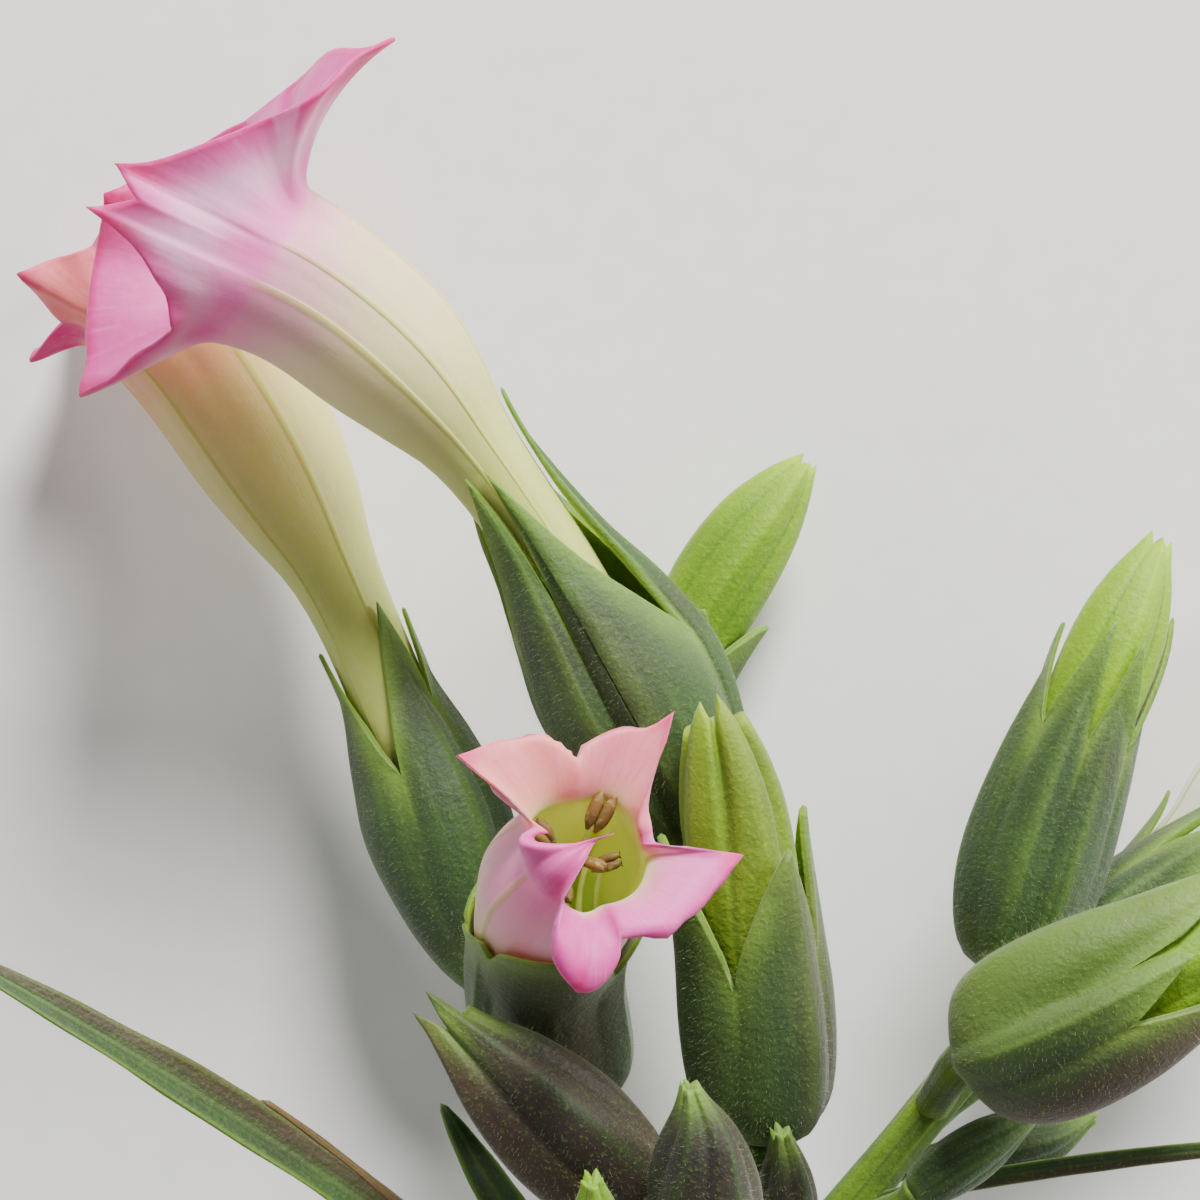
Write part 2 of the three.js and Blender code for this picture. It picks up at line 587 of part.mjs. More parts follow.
addBract("long_bract", [[0.4, 18.5, 9.8], [-19.4, 36.2, 16], [-44.1, 49.6, 19]], {
  halfWidth: [[0, 0.8], [0.3, 1.3], [0.6, 1.5], [0.85, 0.9], [1, 0.15]], thick: 0.6, fold: 0.5, roll: 60,
}, LEAF_GREEN);

addBract("dry_bract", [[0.4, 13.6, 7.8], [-10.2, 30.7, 18.4], [-22.8, 39.9, 23]], {
  halfWidth: [[0, 0.45], [0.5, 0.5], [1, 0.2]], thick: 0.5, fold: 0.4, roll: 90,
}, DRY_BROWN);

addBract("right_bract", [[11.8, 32.2, 13.6], [20.6, 35.6, 18.4], [39.8, 37.4, 21]], {
  halfWidth: [[0, 0.5], [0.4, 0.6], [0.8, 0.5], [1, 0.15]], thick: 0.55, fold: 0.4, roll: 90,
}, LEAF_GREEN);

addBract("dark_bract", [[0.3, 20.4, 10.4], [-11.2, 28.4, 18.6], [-12.5, 39.1, 17.4]], {
  halfWidth: [[0, 0.6], [0.4, 1.1], [0.75, 0.9], [1, 0.15]], thick: 0.6, fold: 0.4, roll: 20,
}, DARK_GREEN);

// Stamens and pistil of the small flower, joined by a ring low in its tube.
function stamensOf(axis, shape) {
  const onAxis = (t, turn, reach, forward = 0) => axis.place(t, turn, reach, forward).toArray();
  const ringPlaces = [[0, 0], [0.05, 0.4], [0, 0.8]].map(([reach, forward]) => onAxis(shape.from, 0, reach, forward));
  const ring = new Axis(...ringPlaces);
  let joined = toSolid(limb(ring, shape.ringRadius, shape.ringRadius, 1));
  shape.threads.forEach(({ turn, reach, forward, anther }) => {
    const foot = onAxis(shape.from, turn, shape.ringRadius * 0.5, 0.3);
    const bend = onAxis((shape.from + 1) / 2, turn, reach + 0.4);
    const head = onAxis(1, turn, reach, forward);
    const line = new Axis(foot, bend, head);
    joined = joined.add(toSolid(limb(line, shape.thread, shape.thread, 3, 5)));
    const tilt = line.point(1).addScaledVector(line.direction(1), anther * 2).toArray();
    const middle = onAxis(1, turn + 8, reach, forward + anther);
    const pod = new Axis(line.point(0.97).toArray(), middle, tilt);
    joined = joined.add(toSolid(closedBud(pod, {
      radius: [[0, 0.3], [0.3, anther * 0.55], [0.7, anther * 0.55], [1, 0.25]],
      from: 0, gap: 0.95, rib: 0, steps: 2, rings: 3, tips: evenTips(0, [1, 1, 1]),
    })));
  });
  return fromSolid(joined);
}

addPiece("small_flower_stamens", stamensOf(smallFlowerAxis, {
  from: 0.56, ringRadius: 3.6, thread: 0.25,
  threads: [
    { turn: 20, reach: 0.6, forward: -0.4, anther: 0.8 },
    { turn: 92, reach: 1.6, forward: 0.6, anther: 0.9 },
    { turn: 164, reach: 1.7, forward: -0.6, anther: 0.8 },
    { turn: 236, reach: 1.9, forward: 0.4, anther: 0.9 },
    { turn: 308, reach: 1.5, forward: -0.8, anther: 0.8 },
  ],
}), ANTHER_BROWN);

// The whole sprig is moved so that the origin is under the middle of its box, on the ground.
const box = new THREE.Box3().setFromObject(sprig);
const centre = box.getCenter(new THREE.Vector3());
sprig.children.forEach((mesh) => mesh.geometry.translate(-centre.x, -centre.y, -box.min.z));

export default sprig;
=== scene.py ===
import bpy
import numpy as np
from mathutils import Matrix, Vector


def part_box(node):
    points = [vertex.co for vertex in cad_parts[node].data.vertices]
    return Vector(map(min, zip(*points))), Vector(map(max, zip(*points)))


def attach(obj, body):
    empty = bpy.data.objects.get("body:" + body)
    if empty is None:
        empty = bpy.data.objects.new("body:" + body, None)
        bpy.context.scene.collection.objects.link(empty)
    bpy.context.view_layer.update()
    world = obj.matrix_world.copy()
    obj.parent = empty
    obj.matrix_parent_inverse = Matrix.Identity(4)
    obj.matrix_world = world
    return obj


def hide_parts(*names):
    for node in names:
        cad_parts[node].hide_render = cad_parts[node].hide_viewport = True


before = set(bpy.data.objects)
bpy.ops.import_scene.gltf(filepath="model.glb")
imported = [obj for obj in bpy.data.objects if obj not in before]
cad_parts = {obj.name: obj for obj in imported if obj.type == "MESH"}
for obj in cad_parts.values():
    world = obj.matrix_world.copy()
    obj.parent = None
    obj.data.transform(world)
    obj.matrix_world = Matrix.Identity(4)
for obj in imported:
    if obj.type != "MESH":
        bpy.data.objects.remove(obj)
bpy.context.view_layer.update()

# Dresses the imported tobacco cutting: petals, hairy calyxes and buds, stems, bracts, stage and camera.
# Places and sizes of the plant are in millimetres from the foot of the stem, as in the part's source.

bl_info = {
    "name": "Tobacco cutting",
    "version": (1, 0, 0),
    "blender": (4, 5, 0),
    "location": "View3D > Sidebar > Cutting",
    "description": "Dresses a cut flowering top of a tobacco plant",
    "category": "Object",
}

MM = 0.001


def colour(red, green, blue):
    """A linear colour from the everyday 0 to 255 values."""
    def linear(value):
        share = value / 255
        return share / 12.92 if share <= 0.04045 else ((share + 0.055) / 1.055) ** 2.4
    return (linear(red), linear(green), linear(blue))


def colour_setting(label, about, red, green, blue):
    return bpy.props.FloatVectorProperty(
        name=label, description=about, subtype="COLOR", size=3, min=0, max=1,
        default=colour(red, green, blue))


def number_setting(label, about, value, **rest):
    return bpy.props.FloatProperty(name=label, description=about, default=value, min=0, **rest)


def length_setting(label, about, metres):
    return number_setting(label, about, metres, unit="LENGTH", precision=5)


def share_setting(label, about, share, high=1.0):
    return number_setting(label, about, share, max=high, subtype="FACTOR")


def power_setting(label, about, watts):
    return number_setting(label, about, watts, unit="POWER")


HAIR_LIGHT = colour(240, 240, 205)
FLOOR_GRAIN = colour(200, 198, 194)


# Settings that a user would change

class CuttingColours(bpy.types.PropertyGroup):
    petal_base: colour_setting("Petal base", "Tube of an open flower near the calyx", 184, 194, 96)
    petal_cream: colour_setting("Petal cream", "Middle of the tube", 224, 206, 150)
    petal_pale: colour_setting("Petal pale", "Nearly white tube of the outer flower", 248, 240, 224)
    petal_tan: colour_setting("Petal tan", "Tube of the left flower", 206, 194, 116)
    petal_blush: colour_setting("Petal blush", "Between the tube's cream and the limb's pink", 230, 176, 180)
    petal_white: colour_setting("Petal white", "Palest part of a lobe", 252, 196, 222)
    petal_pink: colour_setting("Petal pink", "Middle of a lobe", 240, 122, 184)
    petal_rose: colour_setting("Petal rose", "Throat and outside of a lobe", 206, 62, 148)
    petal_deep: colour_setting("Petal deep", "Tip and rim of a lobe", 200, 18, 104)
    petal_salmon: colour_setting("Petal salmon", "Blush below the rim", 244, 148, 118)
    petal_vein: colour_setting("Petal vein", "Five yellow-green veins along a tube", 176, 182, 72)
    # The throat's yellow-green is its own colour, made paler and brighter as painted light that stands for
    # light shining through the petals.
    throat: colour_setting("Throat", "Inside of a flower's throat", 232, 250, 150)
    bud_yellow: colour_setting("Bud yellow", "Folded petals of a bud", 122, 160, 3)
    bud_green: colour_setting("Bud green", "Foot of a bud's petals", 72, 114, 4)
    bud_pale: colour_setting("Bud pale", "Crown of a bud", 158, 190, 14)
    leaf: colour_setting("Leaf green", "Calyx and bract", 50, 76, 32)
    leaf_dark: colour_setting("Dark leaf green", "Hollows of a calyx", 34, 52, 26)
    leaf_light: colour_setting("Light leaf green", "Ribs and margins of a calyx", 108, 140, 46)
    young: colour_setting("Young bud", "Dark purplish green of a young bud", 50, 44, 24)
    young_dark: colour_setting("Young bud hollow", "Hollows of a young bud", 24, 18, 18)
    young_brown: colour_setting("Young bud brown", "Purplish brown on a young bud", 78, 50, 40)
    stem: colour_setting("Stem green", "Stem and stalks", 96, 126, 30)
    dry: colour_setting("Dry brown", "Withered bract and leaf tips", 112, 84, 50)
    anther: colour_setting("Anther", "Ripe anther", 122, 92, 44)
    filament: colour_setting("Filament", "Thread of a stamen", 226, 214, 170)
    hair: colour_setting("Hair", "Glassy hairs with a bead", 140, 158, 88)
    floor: colour_setting("Floor", "Plain floor", 226, 224, 220)


class CuttingSizes(bpy.types.PropertyGroup):
    petal_skin: length_setting("Petal thickness", "Wall of a petal", 0.0003)
    sepal_skin: length_setting("Sepal thickness", "Wall of a calyx", 0.0005)
    hair_length: length_setting("Hair length", "Mean length of a hair", 0.00025)
    hair_radius: length_setting("Hair radius", "Radius of a hair at its foot", 0.0000055)
    bead_radius: length_setting("Bead radius", "Radius of the bead on a hair", 0.000015)
    hair_spacing: length_setting("Hair spacing", "Mean distance between hairs", 0.0004)
    relief: share_setting("Relief", "Depth of folds and grooves, as a share of the real one", 1.0, 2.0)
    petal_glow: share_setting("Petal glow", "How much light passes through a petal", 0.42)
    leaf_glow: share_setting("Leaf glow", "How much light passes through a calyx", 0.16)


class StageSettings(bpy.types.PropertyGroup):
    floor_size: length_setting("Floor size", "Side of the square floor", 6.0)
    camera_height: length_setting("Camera height", "Lens above the stem's cut end", 0.285)
    key_power: power_setting("Key light", "Main light", 23.0)
    fill_power: power_setting("Fill light", "Second light", 1.5)
    rim_power: power_setting("Rim light", "Light from behind", 7.0)
    sky: share_setting("Sky", "Strength of the even light all round", 0.29, 4.0)


# The plant's shapes, as in the part's source

def smooth(stations, position):
    """A smooth value through (position, value) stations, for one position or an array."""
    places = np.array([station[0] for station in stations], float)
    values = np.array([station[1] for station in stations], float)
    slopes = np.empty_like(values)
    slopes[1:-1] = (values[2:] - values[:-2]) / (places[2:] - places[:-2])
    slopes[0] = (values[1] - values[0]) / (places[1] - places[0])
    slopes[-1] = (values[-1] - values[-2]) / (places[-1] - places[-2])
    position = np.asarray(position, float)
    low = np.clip(np.searchsorted(places, position, side="left") - 1, 0, len(places) - 2)
    span = places[low + 1] - places[low]
    u = np.clip((position - places[low]) / span, 0, 1)
    ease = u * u * (3 - 2 * u)
    bulge = slopes[low] * u * (1 - u) ** 2 - slopes[low + 1] * u * u * (1 - u)
    return values[low] * (1 - ease) + values[low + 1] * ease + bulge * span


def mix(start, end, share):
    return start * (1 - share) + end * share


def unit(vectors):
    return vectors / np.linalg.norm(vectors, axis=-1, keepdims=True)


class Axis:
    """A bent axis: a quadratic curve with one fixed side direction, and places around it."""

    def __init__(self, foot, bend, top):
        self.foot, self.bend, self.top = (np.array(place, float) for place in (foot, bend, top))
        self.side = unit(np.cross(self.bend - self.foot, self.top - self.bend))

    def point(self, t):
        t = np.asarray(t, float)[..., None]
        return self.foot * (1 - t) ** 2 + 2 * self.bend * t * (1 - t) + self.top * t * t

    def direction(self, t):
        t = np.asarray(t, float)[..., None]
        return unit((self.bend - self.foot) * (1 - t) + (self.top - self.bend) * t)

    def place(self, t, turn, reach, forward=0.0):
        """Turn is in degrees round the axis, from the inside of its bend towards the side direction."""
        given = (np.asarray(value, float) for value in (t, turn, reach, forward))
        t, turn, reach, forward = np.broadcast_arrays(*given)
        along = self.direction(t)
        inward = np.cross(self.side, along)
        angle = np.radians(turn)[..., None]
        sideways = inward * np.cos(angle) + self.side * np.sin(angle)
        return self.point(t) + along * forward[..., None] + sideways * reach[..., None]

    def length(self):
        places = self.point(np.linspace(0, 1, 60))
        return float(np.linalg.norm(np.diff(places, axis=0), axis=1).sum())


STEM_AXIS = Axis([0, 0, 2.14], [0.8, 17, 9], [-0.4, 33, 15])
STEM_RADII = (2.6, 1.5)
BRANCH_AXIS = Axis([0.2, 16.7, 8.4], [9.3, 28.8, 12.5], [19, 41.4, 16])
BRANCH_RADII = (1.8, 1.3)
JOINT_DEPTH = 0.15
STALK_FLARE = 0.3
SOLID_SIDES = 8
SOLID_RINGS = 7


def stem_low_corner():
    """The low corner of the source's faceted stem, before the source centres the plant."""
    turns = np.arange(SOLID_SIDES) * 360 / SOLID_SIDES
    rings = [STEM_AXIS.place(t, turns, mix(*STEM_RADII, t)) for t in np.linspace(0, 1, SOLID_RINGS)]
    return np.concatenate(rings).min(axis=0)


SHIFT = np.array(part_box("main_stem")[0]) / MM - stem_low_corner()


# Meshes

SURFACES = {}
# Columns from one tip to the next, then rings along a body
PETAL_STEPS = 24
SEPAL_STEPS = 20
BUD_STEPS = 14
LIMB_SIDES = 28
BLADE_COLUMNS = 15
TUBE_RINGS, LIMB_RINGS, LINING_RINGS = 34, 20, 18
CUP_RINGS, TOOTH_RINGS = 20, 26
BUD_RINGS = 46
BLADE_RINGS = 70
STEM_RINGS, BRANCH_RINGS, STALK_RINGS = 80, 70, 48
# The first seed of each group of pieces
SEEDS = {"stem": 11, "branch": 12, "stalk": 20, "calyx": 40, "corolla": 60, "bud": 80, "young_bud": 90,
         "bract": 100, "stamens": 120, "hairs": 200}


def bell(offset, width):
    """A smooth bump, 1 in its middle, that falls off over a width."""
    return np.exp(-(np.asarray(offset, float) / width) ** 2)


def rise(value, low, high):
    """A smooth step from 0 to 1."""
    share = np.clip((np.asarray(value, float) - low) / (high - low), 0, 1)
    return share * share * (3 - 2 * share)


def closed_rings(rings):
    """The faces of a stack of rings with a pole before and after it."""
    count, sides = rings.shape[:2]
    corner = 1 + np.arange(count)[:, None] * sides + np.arange(sides)[None]
    after = np.roll(corner, -1, axis=1)
    last = 1 + count * sides
    sheets = np.stack([corner[:-1], after[:-1], after[1:], corner[1:]], axis=-1).reshape(-1, 4).tolist()
    foot = [[0, b, a] for a, b in zip(corner[0].tolist(), after[0].tolist())]
    head = [[last, a, b] for a, b in zip(corner[-1].tolist(), after[-1].tolist())]
    return sheets + foot + head


def volume(places, faces):
    total = 0.0
    for size in (3, 4):
        group = np.array([face for face in faces if len(face) == size])
        if len(group) == 0:
            continue
        for corner in range(1, size - 1):
            a, b, c = (places[group[:, index]] for index in (0, corner, corner + 1))
            total += np.einsum("ij,ij->i", a, np.cross(b, c)).sum()
    return total


def grow_piece(name, bodies, finish, node=None):
    """One object from closed bodies: each is its rings, its two poles and its values at the ring places.
    A value is one number, a number for each column or ring, or a grid."""
    places, faces, values = [], [], {}
    start = 0
    for rings, poles, body_values in bodies:
        body_places = np.concatenate([poles[0][None], rings.reshape(-1, 3), poles[1][None]])
        body_faces = closed_rings(rings)
        if volume(body_places, body_faces) < 0:
            body_faces = [face[::-1] for face in body_faces]
        places.append(body_places)
        faces += [[corner + start for corner in face] for face in body_faces]
        start += len(body_places)
        for key, value in body_values.items():
            grid = np.broadcast_to(value, rings.shape[:2] + np.shape(value)[2:]).astype(float)
            flat = grid.reshape((-1,) + grid.shape[2:])
            ends = grid[0].mean(axis=0)[None], grid[-1].mean(axis=0)[None]
            values.setdefault(key, []).append(np.concatenate([ends[0], flat, ends[1]]))
    places = (np.concatenate(places) + SHIFT) * MM
    values = {key: np.concatenate(parts) for key, parts in values.items()}
    mesh = bpy.data.meshes.new(name)
    mesh.from_pydata(places.tolist(), [], faces)
    for key, value in values.items():
        kind, field = ("FLOAT_VECTOR", "vector") if value.ndim == 2 else ("FLOAT", "value")
        mesh.attributes.new(key, kind, "POINT").data.foreach_set(field, value.ravel())
    mesh.shade_smooth()
    mesh.materials.append(finish)
    SURFACES[name] = (places, faces, values["hair"])
    show_piece(name, mesh, node)


def show_piece(name, mesh, node=None):
    piece = bpy.data.objects.new(name, mesh)
    bpy.context.scene.collection.objects.link(piece)
    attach(piece, "root")
    if node:
        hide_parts(node)


class Columns:
    """The columns of a lobed body: turns, nearness to a lobe's tip, and the lobe each belongs to."""

    def __init__(self, tips, notches, steps):
        """Tips and the notches after them are turns. A notch of None lies midway."""
        count = len(tips)
        sweep = (np.roll(tips, -1) - np.array(tips, float)) % 360
        middle = [tip + (gap / 2 if notch is None else (notch - tip) % 360)
                  for tip, gap, notch in zip(tips, sweep, notches)]
        self.sector = np.repeat(np.arange(count), steps)
        self.share = np.tile(np.arange(steps) / steps, count)
        self.before = self.share > 0.5
        self.half = (~self.before).astype(int)
        self.nearest = np.where(self.before, (self.sector + 1) % count, self.sector)
        self.nearness = np.abs(1 - 2 * self.share)
        self.room = sweep[self.sector]
        tip = np.array(tips, float)[self.sector]
        notch = np.array(middle, float)[self.sector]
        self.turn = mix(notch, tip + np.where(self.before, self.room, 0), self.nearness)


def waves(rng, turns, counts):
    """A wavy line round the axis, from a few sine waves of set counts and seeded phases."""
    total = np.zeros_like(turns)
    for count in counts:
        total += np.sin(np.radians(turns) * count + rng.uniform(0, 2 * np.pi)) / len(counts)
    return total


def flow(turn, along):
    """Turn and way along as one vector, for patterns that run lengthwise without a seam."""
    around = np.radians(turn)
    return stacked(np.cos(around), np.sin(around), along)


def stacked(x, y, z):
    return np.stack(np.broadcast_arrays(x, y, z), axis=-1)


def own_values(parts, key, default):
    """What each lobe or tooth has of its own, or the default."""
    return np.array([part[-1].get(key, default) for part in parts], float)


# Depths of the petals' relief in millimetres
THROAT_HOLLOW = 0.14
TUBE_VEIN = 0.06
TUBE_SWAY = 0.06
LOBE_RIDGE = 0.24
LOBE_VALLEY = 1.5
LEAST_TUBE = 0.2
PETAL_HAIR = 0.35


def open_corolla(axis, shape, skin, relief, seed):
    """An open corolla: a hollow tube that widens to a throat and spreads into five pointed lobes."""
    rng = np.random.default_rng(seed)
    lobes = shape["lobes"]
    columns = Columns([lobe[0] for lobe in lobes], [lobe[3].get("notch") for lobe in lobes], PETAL_STEPS)
    near, share, turn = columns.nearness, columns.share, columns.turn
    nearest = columns.nearest
    side = nearest, columns.half
    broad = np.clip((columns.room - 20) / 60, 0, 1)
    slant_turn, slant = shape.get("slant", (0, 0.0))
    last = 1 - slant * (0.5 + 0.5 * np.cos(np.radians(turn - slant_turn)))

    point = own_values(lobes, "point", (shape["point"],) * 2)[side]
    tail = own_values(lobes, "tail", (0.04, 0.04))[side]
    dip = own_values(lobes, "dip", (0, 0))[side]
    tips = np.array([lobe[1:3] for lobe in lobes], float)[nearest]
    gaps = own_values(lobes, "gap", shape["gap"])[columns.sector]
    rim = mix(gaps, tips, ((1 - tail) * near ** point + tail * near ** 9)[:, None])
    rim[:, 0] += dip * 4 * near * (1 - near)
    swell = own_values(lobes, "spread", shape["spread"])[nearest]
    swell = mix(np.array(shape["spread"], float), swell, rise(near, 0, 0.7)[:, None])
    ripple = waves(rng, turn, (7, 11, 17)) * shape.get("wave", 0.5)
    lie = waves(rng, turn, (3, 5, 8)) * shape.get("wave", 0.5)
    hollow_rim = relief * THROAT_HOLLOW * broad * bell(near, 0.3)
    fluting = shape["pleat"] * broad * (np.cos(2 * np.pi * share) - 1)

    def tube(t, inset):
        t = np.asarray(t)[:, None]
        vein = relief * TUBE_VEIN * bell(1 - near, 0.07) * rise(t, 0.3, 0.6)
        hollow = hollow_rim * rise(t, 0.55, 0.95)
        sway = relief * TUBE_SWAY * waves(rng, turn + 160 * t, (3, 4))
        radius = smooth(shape["radius"], t) * (1 + fluting * t) + vein - hollow + sway - inset
        return axis.place(mix(t, t * last, rise(t, 0.4, 1)), turn, np.maximum(radius, LEAST_TUBE))

    start = smooth(shape["radius"], 1) * (1 + fluting) - hollow_rim
    foot = np.stack([start, np.zeros_like(start)], axis=-1)
    lead = foot + np.array([0.12, 1.0]) * shape.get("ease", 1.4)
    bend = mix(foot, rim, 0.6) + swell

    def limb_line(u):
        u = np.asarray(u, float)[:, None, None]
        left = 1 - u
        return foot * left ** 3 + 3 * lead * u * left ** 2 + 3 * bend * u * u * left + rim * u ** 3

    def limb(u, inset):
        here = limb_line(u)
        course = unit(limb_line(np.asarray(u) + 0.01) - limb_line(np.asarray(u) - 0.01))
        u = np.asarray(u, float)[:, None]
        fold = shape.get("fold", 1.0)
        ridge = LOBE_RIDGE * fold * bell(1 - near, 0.16) * rise(u, 0, 0.4)
        valley = LOBE_VALLEY * fold * (broad * bell(near, 0.3)) * u * (1 - u)
        lift = relief * (ridge - valley + ripple * u ** 3 * 0.8 + lie * u * 0.5)
        away = inset - lift
        reach = here[..., 0] - course[..., 1] * away
        forward = here[..., 1] + course[..., 0] * away
        return axis.place(last, turn, reach, forward)

    tube_steps = np.linspace(shape["from"], 1, TUBE_RINGS)
    limb_steps = np.linspace(0.05, 1, LIMB_RINGS)
    inner_steps = np.linspace(1, shape["floor"], LINING_RINGS)
    rim_ring = mix(limb([1.0], 0), limb([1.0], skin), 0.5) + (limb([1.0], 0) - limb([0.98], 0)) * 0.4
    rings = np.concatenate([tube(tube_steps, 0), limb(limb_steps, 0), rim_ring,
                            limb(limb_steps[::-1], skin), tube(inner_steps, skin)])
    along = np.concatenate([tube_steps, 1 + limb_steps, [2.0], 1 + limb_steps[::-1], inner_steps])[:, None]
    outer = TUBE_RINGS + LIMB_RINGS
    inside = np.repeat([0.0, 0.5, 1.0], [outer, 1, len(rings) - outer - 1])[:, None]
    warm = own_values(lobes, "warm", 0)
    next_warm = np.roll(warm, -1)
    values = {
        "along": along,
        "nearness": near,
        "inside": inside,
        "warm": mix(warm[columns.sector], next_warm[columns.sector], rise(share, 0.3, 0.7)),
        "flow": flow(turn, along),
        "hair": np.where(inside < 0.2, PETAL_HAIR, 0.0) * rise(along, 1.3, 0.95),
    }
    return rings, (axis.point(shape["from"]), axis.point(shape["floor"])), values


def painted_shading_by_turn(turn, shape):
    """The painted shading of each column: 1 paints shade in the dark side's tone, -1 paints light in the
    light one's.
    Given as the shaded side's turn, width and strength, then the tint of the rest."""
    middle, width, strength, rest = shape.get("dusk", (0, 60, 0.0, 0.0))
    away = (turn - middle + 180) % 360 - 180
    return mix(rest, strength, bell(away, width))


# Relief of a calyx as shares of its largest radius, and what its wall keeps clear, in millimetres
TOOTH_ROUNDING = 0.65
KEEL_RISE = 0.028
SEAM_DEPTH = 0.05
SEPAL_SWAY = 0.02
PETAL_ROOM = 0.14
LINING_ROOM = 0.1
LEAST_WALL = 0.16
MARGIN_WIDTH = 2.6


def calyx_cup(axis, shape, room, skin, relief, seed):
    """A calyx: a cup with keeled, pointed teeth and sunken seams below the notches between them."""
    rng = np.random.default_rng(seed)
    teeth = [tooth if len(tooth) > 2 else (*tooth, {}) for tooth in shape["tips"]]
    columns = Columns([tooth[0] for tooth in teeth], [tooth[2].get("notch") for tooth in teeth], SEPAL_STEPS)
    near, nearest = columns.nearness, columns.nearest
    depth = own_values(teeth, "depth", 1)[columns.sector]
    gap = own_values(teeth, "gap", shape["gap"])[columns.sector]
    rounding = own_values(teeth, "rounding", (shape.get("rounding", TOOTH_ROUNDING),) * 2)
    ends = np.array([tooth[1] for tooth in teeth], float)[nearest]
    end = mix(gap, ends, near ** rounding[nearest, columns.half])
    sway = waves(rng, columns.turn, (4, 6, 9))
    size = max(station[1] for station in shape["radius"])

    def outer_radius(t):
        ribbed = smooth(shape["radius"], t) * (1 + shape["rib"] * np.cos(2 * np.pi * columns.share))
        keel = KEEL_RISE * size * bell(1 - near, 0.12) * rise(t, 0.05, 0.3)
        sunk = depth * bell(near, 0.13 * np.sqrt(depth))
        seam = SEAM_DEPTH * size * sunk * rise(t, gap * 0.2, gap)
        soft = SEPAL_SWAY * size * sway
        return np.maximum(ribbed + relief * (keel - seam + soft), room(t) + PETAL_ROOM + skin * 0.5)

    def inner_radius(t):
        return np.minimum(np.maximum(outer_radius(t) - skin, room(t) + LINING_ROOM),
                          outer_radius(t) - LEAST_WALL)

    def ring(steps, radius_of, start):
        steps = np.asarray(steps, float)[:, None]
        cup = np.minimum(steps, 0.5) * 2
        tooth = np.maximum(steps - 0.5, 0) * 2
        t = mix(mix(start, gap, cup), end, tooth)
        curl = shape["spread"] * tooth * near * (1 + 0.8 * tooth * near ** 4)
        edge_lift = relief * 0.16 * (1 - near) * rise(tooth, 0.3, 1) * (near > 0)
        return t, axis.place(t, columns.turn, radius_of(t) + curl + edge_lift)

    outer_steps = np.concatenate([np.linspace(0, 0.5, CUP_RINGS)[:-1], np.linspace(0.5, 1, TOOTH_RINGS)])
    inner_steps = outer_steps[::-2]
    outer_t, outer = ring(outer_steps, outer_radius, 0)
    inner_t, inner = ring(inner_steps, inner_radius, shape["floor"])
    beyond = (outer[-1:] - outer[-2:-1]) * 0.5
    rim = mix(outer[-1:], inner[:1], 0.5) + beyond
    rings = np.concatenate([outer, rim, inner])
    t = np.concatenate([outer_t, outer_t[-1:], inner_t])
    steps = np.concatenate([outer_steps, [1.0], inner_steps])[:, None]
    inside = np.repeat([0.0, 0.4, 1.0], [len(outer), 1, len(inner)])[:, None]
    values = {
        "along": steps,
        "nearness": near,
        "inside": inside,
        "margin": bell((end - t) * axis.length(), MARGIN_WIDTH),
        "dusk": painted_shading_by_turn(columns.turn, shape),
        "flow": flow(columns.turn, steps),
        "hair": np.where(inside < 0.5, 1.0, 0.0),
    }
    return rings, (axis.point(0), axis.point(shape["floor"])), values


LEAST_BUD = 0.12
BUD_SWAY = 0.025


def closed_bud(axis, shape, relief, seed, steps=BUD_STEPS, hair=0.3):
    """A closed bud: a body with deep folds, a slight twist and a small crown of tips."""
    rng = np.random.default_rng(seed)
    tips = shape["tips"]
    columns = Columns([tip[0] for tip in tips], [None] * len(tips), steps)
    near = columns.nearness
    ends = np.array([tip[1] for tip in tips], float)[columns.nearest]
    gap = np.array([tip[2] if len(tip) > 2 else shape["gap"] for tip in tips])[columns.sector]
    end = mix(gap, ends, near ** shape.get("point", 0.8))
    sway = waves(rng, columns.turn, (3, 5, 8))
    size = max(station[1] for station in shape["radius"])
    share = np.linspace(0, 1, shape.get("rows", BUD_RINGS))[:, None]
    t = mix(shape["from"], end, share)
    fold = 1 + shape["rib"] * share * np.cos(2 * np.pi * columns.share)
    seam = rise(share, *shape.get("seam", (0.05, 0.4)))
    groove = shape.get("groove", 0.035) * size * bell(near, 0.2) * seam
    keel = shape.get("keel", 0.012) * size * bell(1 - near, 0.16) * rise(share, 0.05, 0.5)
    radius = smooth(shape["radius"], t) * fold + relief * (keel - groove + BUD_SWAY * size * sway)
    turn = columns.turn + shape.get("twist", 16) * rise(share, 0.35, 1)
    crown = rise(share, 0.93, 1) * near * shape.get("open", 0.15)
    rings = axis.place(t, turn, np.maximum(radius, LEAST_BUD) + crown)
    values = {
        "along": share,
        "nearness": near,
        "inside": 0.0,
        "margin": bell((end - t) * axis.length(), shape.get("crown", 1.6)),
        "dusk": painted_shading_by_turn(columns.turn, shape),
        "flow": flow(columns.turn, share),
        "hair": hair,
    }
    return rings, (axis.point(shape["from"]), axis.point(shape["gap"] - 0.05)), values


